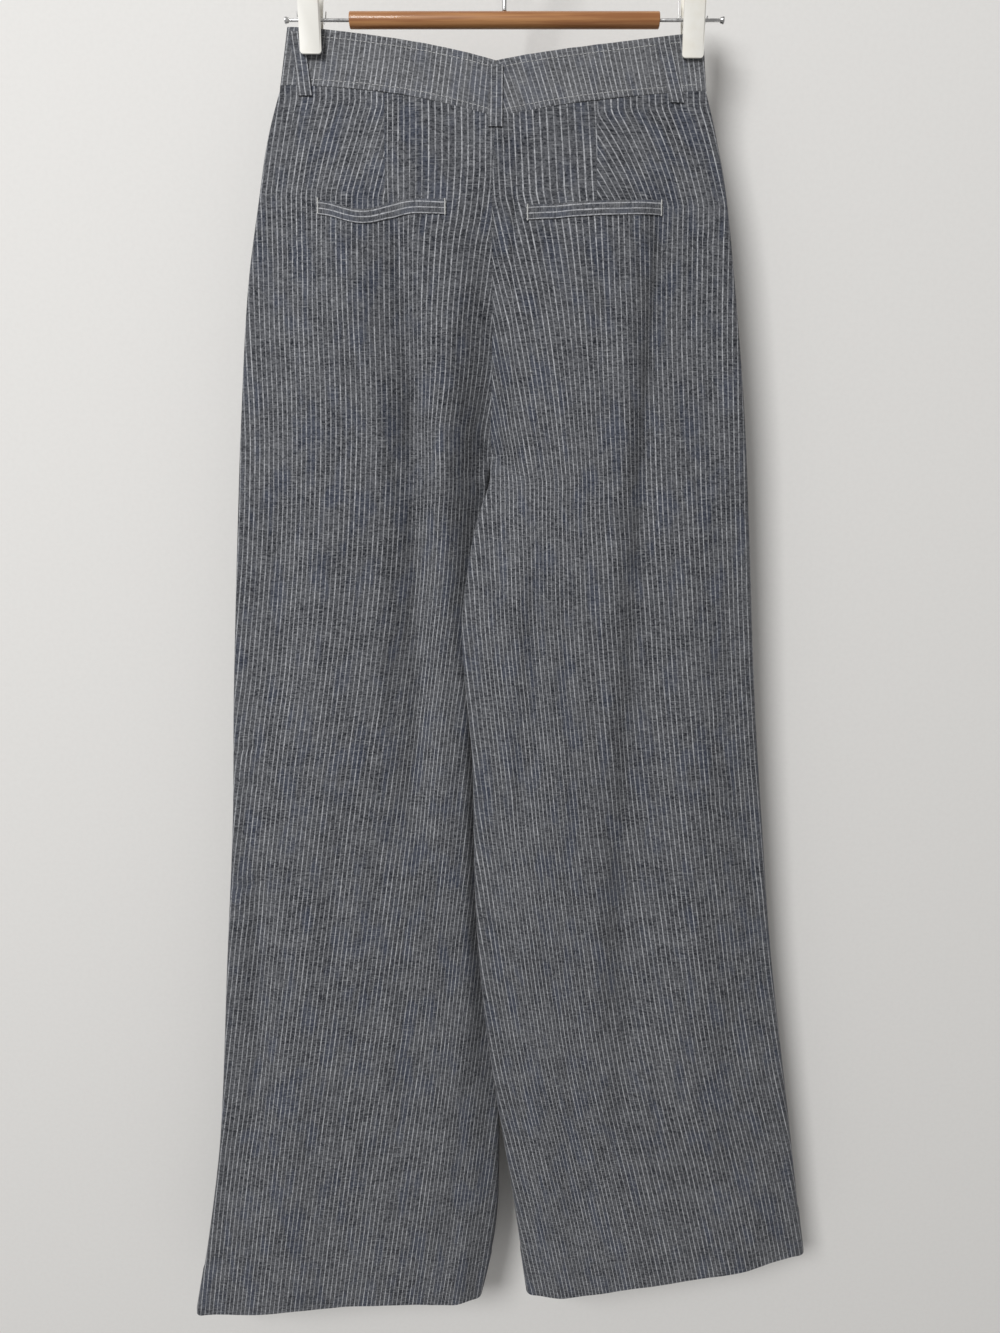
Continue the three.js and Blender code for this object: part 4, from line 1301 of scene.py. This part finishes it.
def coil_spring(side):
    """A clip's spring: turns of wire round the rod, whose ends show past both sides of the jaws."""
    deselect_all()
    bpy.ops.mesh.primitive_circle_add(vertices=8, radius=COIL["wire"] * MM)
    piece = bpy.context.object
    piece.name = f"spring_{SIDE_NAMES[side]}"
    edit_whole(piece, bpy.ops.transform.rotate, value=math.pi / 2, orient_axis="Y")
    edit_whole(piece, bpy.ops.transform.translate, value=(0, COIL["radius"] * MM, 0))
    pitch = COIL["length"] / COIL["turns"]
    apply_modifier(
        piece, "SCREW", axis="X", angle=2 * math.pi, screw_offset=pitch * MM, iterations=COIL["turns"],
        steps=20, render_steps=20)
    start = Vector((CLIP_CENTRES[side] - COIL["length"] / 2, 0, ROD_Z))
    edit_whole(piece, bpy.ops.transform.translate, value=start * MM)
    edit_whole(piece, bpy.ops.mesh.normals_make_consistent)
    wires = []
    for end, tall in enumerate(COIL_EARS[side]):
        foot = start + Vector((COIL["length"] * end, COIL["radius"], 0))
        lean = (2 * end - 1) * COIL["ear_lean"]
        tip = foot + Vector((lean, -COIL["ear_back"], tall))
        wires.append(straight_wire(foot, tip, COIL["wire"]))
    pick(piece)
    for wire in wires:
        wire.select_set(True)
    bpy.ops.object.join()
    node = f"clip_spring_{SIDE_NAMES[side]}"
    return finish_piece(piece, finishes()["steel"], [node], angle=40)


class ClothOperator(bpy.types.Operator):
    """Sews the four panels of the legs."""
    bl_idname = "trousers.legs"
    bl_label = "Legs"

    def execute(self, context):
        for side in (LEFT, RIGHT):
            for face in (BACK, FRONT):
                leg_panel(side, face)
        return {"FINISHED"}


class BandOperator(bpy.types.Operator):
    """Sets the waistband on the legs."""
    bl_idname = "trousers.waistband"
    bl_label = "Waistband"

    def execute(self, context):
        for side in (LEFT, RIGHT):
            waistband_half(side)
        return {"FINISHED"}


class TrimOperator(bpy.types.Operator):
    """Lays on the pocket welts, the belt loops and the fly's lap."""
    bl_idname = "trousers.trim"
    bl_label = "Trim"

    def execute(self, context):
        for side in (LEFT, RIGHT):
            pocket_welt(side)
        for row in rows_of(LOOPS):
            belt_loop(row)
        fly_lap()
        return {"FINISHED"}


class StitchOperator(bpy.types.Operator):
    """Sews the waistband's topstitching, the hems and the welts' bartacks."""
    bl_idname = "trousers.stitches"
    bl_label = "Stitches"

    def execute(self, context):
        faces = (BACK, FRONT)
        band = [(face, band_line(face, drop)) for face in faces for drop in BAND_STITCH_DROPS]
        stitches("waistband_stitches", band, BAND_STITCHES, "topstitch")
        hems = [(face, hem_line(side, face)) for side in (LEFT, RIGHT) for face in faces]
        stitches("hem_stitches", hems, HEM_STITCHES, "hem_thread")
        tacks = []
        for side in (LEFT, RIGHT):
            w = WELTS[side]
            start, end = w["from"] + BARTACK_INSET, w["to"] - BARTACK_INSET
            for x, z in ((start, w["start_z"]), (end, w["end_z"])):
                tacks.append((BACK, [(x, z + BARTACK_REACH), (x, z - BARTACK_REACH)]))
        stitches("welt_bartacks", tacks, BARTACK_STITCHES, "thread")
        return {"FINISHED"}


class HangerOperator(bpy.types.Operator):
    """Finishes the hanger's bar, rods and hook, and winds the clips' springs."""
    bl_idname = "trousers.hanger"
    bl_label = "Hanger"

    def execute(self, context):
        dressed_copy("bar", "hanger_bar", ROUNDING["bar"], "wood")
        dressed_copy("hook", "hanger_hook", ROUNDING["hook"], "steel")
        for key in SIDE_NAMES.values():
            dressed_copy(f"rod_{key}", f"hanger_rod_{key}", ROUNDING["rod"], "steel")
            dressed_copy(f"rod_cap_{key}", f"hanger_cap_{key}", ROUNDING["cap"], "steel")
        for side in (LEFT, RIGHT):
            coil_spring(side)
        return {"FINISHED"}


class ClipOperator(bpy.types.Operator):
    """Moulds the jaws of the clips."""
    bl_idname = "trousers.clips"
    bl_label = "Clips"

    def execute(self, context):
        for side in SIDE_NAMES.values():
            for face in FACE_NAMES.values():
                name, node = f"clip_jaw_{side}_{face}", f"clip_{side}_{face}"
                dressed_copy(name, node, ROUNDING["jaw"], "plastic")
        return {"FINISHED"}


class ButtonOperator(bpy.types.Operator):
    """Sews on the waistband's button."""
    bl_idname = "trousers.button"
    bl_label = "Button"

    def execute(self, context):
        dressed_copy("button", "waistband_button", ROUNDING["button"], "button")
        return {"FINISHED"}


class StageOperator(bpy.types.Operator):
    """Sets up the wall, the light and the camera."""
    bl_idname = "trousers.stage"
    bl_label = "Stage"

    def execute(self, context):
        look = context.scene.stage_look
        deselect_all()
        bpy.ops.mesh.primitive_plane_add(
            size=WALL_SIZE, location=(0, WALL_BEHIND * MM, WALL_MIDDLE),
            rotation=(math.pi / 2, 0, 0))
        wall = context.object
        wall.name = "wall"
        bpy.ops.object.transform_apply(location=True, rotation=True)
        wall.data.materials.append(painted_wall(look))

        world = bpy.data.worlds.new("room")
        world.use_nodes = True
        background = world.node_tree.nodes["Background"]
        background.inputs["Color"].default_value = tuple(look.room_colour)
        background.inputs["Strength"].default_value = look.room_strength
        context.scene.world = world

        bpy.ops.object.light_add(type="AREA", location=WINDOW["place"])
        key = context.object
        key.name = "window"
        key.data.shape = "RECTANGLE"
        key.data.size, key.data.size_y = WINDOW["width"], WINDOW["height"]
        key.data.energy = look.key_strength
        aim = Vector(WINDOW["aim"]) - key.location
        key.rotation_euler = aim.to_track_quat("-Z", "Y").to_euler()

        bpy.ops.object.camera_add(
            location=[c * MM for c in CAMERA_PLACE], rotation=(math.pi / 2 - look.tilt, 0, 0))
        camera = context.object
        camera.data.lens = look.lens
        camera.data.sensor_width = 36
        camera.data.clip_start = 0.01
        context.scene.camera = camera
        context.scene.view_settings.view_transform = "Standard"
        return {"FINISHED"}


class TrousersPanel(bpy.types.Panel):
    bl_label = "Palazzo pants"
    bl_idname = "VIEW3D_PT_palazzo_pants"
    bl_space_type = "VIEW_3D"
    bl_region_type = "UI"
    bl_category = "Trousers"

    def draw(self, context):
        for operator in OPERATORS:
            self.layout.operator(operator.bl_idname)
        for name in LOOKS:
            for prop in getattr(context.scene, name).bl_rna.properties:
                if prop.identifier not in ("rna_type", "name"):
                    self.layout.prop(getattr(context.scene, name), prop.identifier)


OPERATORS = (
    ClothOperator, BandOperator, TrimOperator, StitchOperator, HangerOperator, ClipOperator,
    ButtonOperator, StageOperator,
)
LOOKS = {"cloth_look": ClothLook, "hanger_look": HangerLook, "stage_look": StageLook}


def register():
    for cls in (*LOOKS.values(), *OPERATORS, TrousersPanel):
        bpy.utils.register_class(cls)
    for name, cls in LOOKS.items():
        setattr(bpy.types.Scene, name, bpy.props.PointerProperty(type=cls))


def unregister():
    for name in LOOKS:
        delattr(bpy.types.Scene, name)
    for cls in (TrousersPanel, *reversed(OPERATORS), *reversed(LOOKS.values())):
        bpy.utils.unregister_class(cls)


def main():
    register()
    bpy.ops.trousers.clips()
    bpy.ops.trousers.waistband()
    bpy.ops.trousers.legs()
    bpy.ops.trousers.trim()
    bpy.ops.trousers.stitches()
    bpy.ops.trousers.button()
    bpy.ops.trousers.hanger()
    bpy.ops.trousers.stage()


if __name__ == "__main__":
    main()
